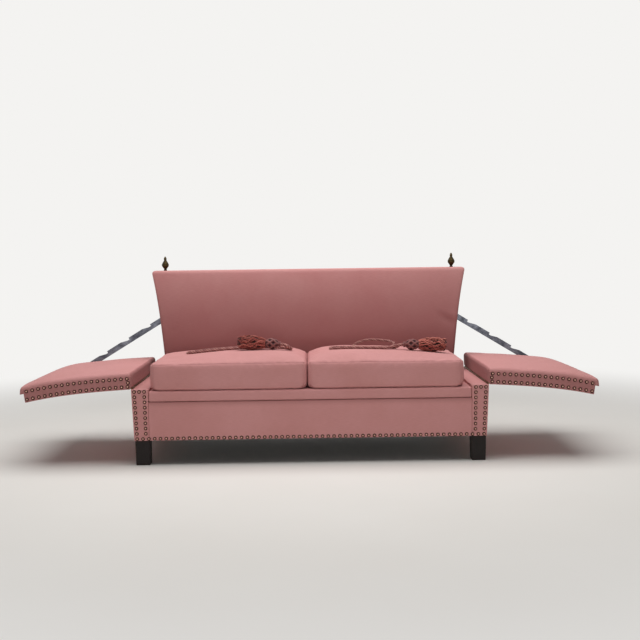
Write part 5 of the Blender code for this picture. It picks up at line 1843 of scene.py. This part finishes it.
@dataclass
class Studio:
    """Pale floor, soft overhead light, a dim even fill, and the camera at the photograph's angle."""

    eye: Point = (-0.004, -4.95, 0.936)
    pitch: float = math.radians(3.66)
    yaw: float = math.radians(0.643)
    roll: float = math.radians(-0.763)
    focal: float = 1030.0
    frame: float = 640.0
    sensor: float = 36.0
    floor_colour: str = "e4e0da"
    floor_mottle: str = "eae7e2"
    floor_roughness: float = 0.75
    floor_reach: float = 60.0
    floor_near: float = 1.5
    floor_far: float = 4.0
    sky_colour: str = "f4f3f1"
    fill_colour: str = "ffffff"
    fill: float = 0.10
    power: float = 135.0
    board: float = 3.8

    def build(self) -> None:
        """Builds the floor, the lights, the world and the camera."""
        self.floor()
        self.lights()
        self.world()
        self.camera()
        bpy.context.scene.view_settings.view_transform = "Standard"

    def backdrop_rays(self, tree: Tree) -> Socket:
        """Where the pale backdrop shows: one for rays from the camera, or from a shiny or clear face.

        Args:
            tree: node tree of the floor's material or the world.

        Returns:
            The socket that says so.
        """
        ray = add(tree, "ShaderNodeLightPath", {}).outputs
        either = {0: ray["Is Camera Ray"], 1: ray["Is Glossy Ray"]}
        seen = add(tree, "ShaderNodeMath", either, operation="ADD")
        any_of = {0: seen.outputs[0], 1: ray["Is Transmission Ray"]}
        return add(tree, "ShaderNodeMath", any_of, operation="ADD", use_clamp=True).outputs[0]

    def floor(self) -> None:
        """A wide flat floor, faintly uneven, that the camera sees turn into the pale backdrop far off."""
        mesh = bpy.data.meshes.new("floor")
        corners = np.array(((-1, -1, 0), (1, -1, 0), (1, 1, 0), (-1, 1, 0))) * self.floor_reach
        mesh.from_pydata(corners.tolist(), [], [(0, 1, 2, 3)])
        made = bpy.data.objects.new("floor", mesh)
        bpy.context.scene.collection.objects.link(made)
        material = bpy.data.materials.new("pale floor")
        material.use_nodes = True
        tree = material.node_tree
        place = add(tree, "ShaderNodeTexCoord", {}).outputs["Object"]
        cloud = add(tree, "ShaderNodeTexNoise", {"Vector": place, "Scale": 1.4, "Detail": 3.0})
        mottled = {0: cloud.outputs[0], 6: linear(self.floor_colour), 7: linear(self.floor_mottle)}
        tone = add(tree, "ShaderNodeMix", mottled, data_type="RGBA")
        shader = tree.nodes["Principled BSDF"]
        feed(tree, shader, {"Base Color": tone.outputs[2], "Roughness": self.floor_roughness})
        away = add(tree, "ShaderNodeVectorMath", {0: place}, operation="LENGTH")
        reach_out = {0: away.outputs["Value"], 1: self.floor_near, 2: self.floor_far, 3: 0.0, 4: 1.0}
        fade = add(tree, "ShaderNodeMapRange", reach_out, interpolation_type="SMOOTHSTEP")
        far_off = {0: fade.outputs[0], 1: self.backdrop_rays(tree)}
        seen = add(tree, "ShaderNodeMath", far_off, operation="MULTIPLY")
        haze = add(tree, "ShaderNodeEmission", {0: linear(self.sky_colour), 1: 1.0})
        shown = {0: seen.outputs[0], 1: shader.outputs[0], 2: haze.outputs[0]}
        mixed = add(tree, "ShaderNodeMixShader", shown)
        feed(tree, tree.nodes["Material Output"], {"Surface": mixed.outputs[0]})
        mesh.materials.append(material)

    def lights(self) -> None:
        """One large soft light overhead, and a low reflector board in front that lifts the base."""
        for name, size, power, place, tilt, spread in (
            ("overhead", (4.5, 3.2), self.power, (-0.1, -0.15, 3.3), 2.0, 180.0),
            ("board", (3.6, 0.5), self.board, (0.0, -3.4, 0.30), 92.0, 70.0),
        ):
            lamp = bpy.data.lights.new(name, "AREA")
            lamp.shape, lamp.energy = "RECTANGLE", power
            lamp.size, lamp.size_y = size
            lamp.spread = math.radians(spread)
            made = bpy.data.objects.new(name, lamp)
            made.location = place
            made.rotation_euler = (math.radians(tilt), 0.0, 0.0)
            made.visible_camera = False
            bpy.context.scene.collection.objects.link(made)

    def world(self) -> None:
        """A dim even fill for the object; the camera and mirror-like faces see a pale backdrop instead."""
        world = bpy.context.scene.world or bpy.data.worlds.new("studio")
        bpy.context.scene.world = world
        world.use_nodes = True
        tree = world.node_tree
        tree.nodes.clear()
        dim = add(tree, "ShaderNodeBackground", {0: linear(self.fill_colour), 1: self.fill})
        pale = add(tree, "ShaderNodeBackground", {0: linear(self.sky_colour), 1: 1.0})
        shown = {0: self.backdrop_rays(tree), 1: dim.outputs[0], 2: pale.outputs[0]}
        mixed = add(tree, "ShaderNodeMixShader", shown)
        add(tree, "ShaderNodeOutputWorld", {"Surface": mixed.outputs[0]})

    def camera(self) -> None:
        """The camera, level with a standing eye, a little turned and tilted, as the photograph was taken."""
        lens = bpy.data.cameras.new("camera")
        lens.sensor_width, lens.lens = self.sensor, self.focal / self.frame * self.sensor
        made = bpy.data.objects.new("camera", lens)
        bpy.context.scene.collection.objects.link(made)
        turn = Matrix.Rotation(-self.yaw, 4, "Z") @ Matrix.Rotation(math.pi / 2 - self.pitch, 4, "X")
        made.matrix_world = Matrix.Translation(self.eye) @ turn @ Matrix.Rotation(self.roll, 4, "Z")
        bpy.context.scene.camera = made


def main() -> None:
    """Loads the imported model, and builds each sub-assembly in order."""
    logging.basicConfig(level=logging.INFO, format="%(message)s")
    for old in list(bpy.data.objects):
        bpy.data.objects.remove(old)
    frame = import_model()
    Studio().build()
    for side in Side:
        cushion = SeatCushion(side)
        tie = RopeTie(cushion)
        tie.build()
        cushion.build(tie.weight())
        DropArm(side).build()
    BoxBase().build()
    FlaredBack().build()
    Webbing().build()
    PlainSolids().dress(frame["nodes"])


if __name__ == "__main__":
    main()
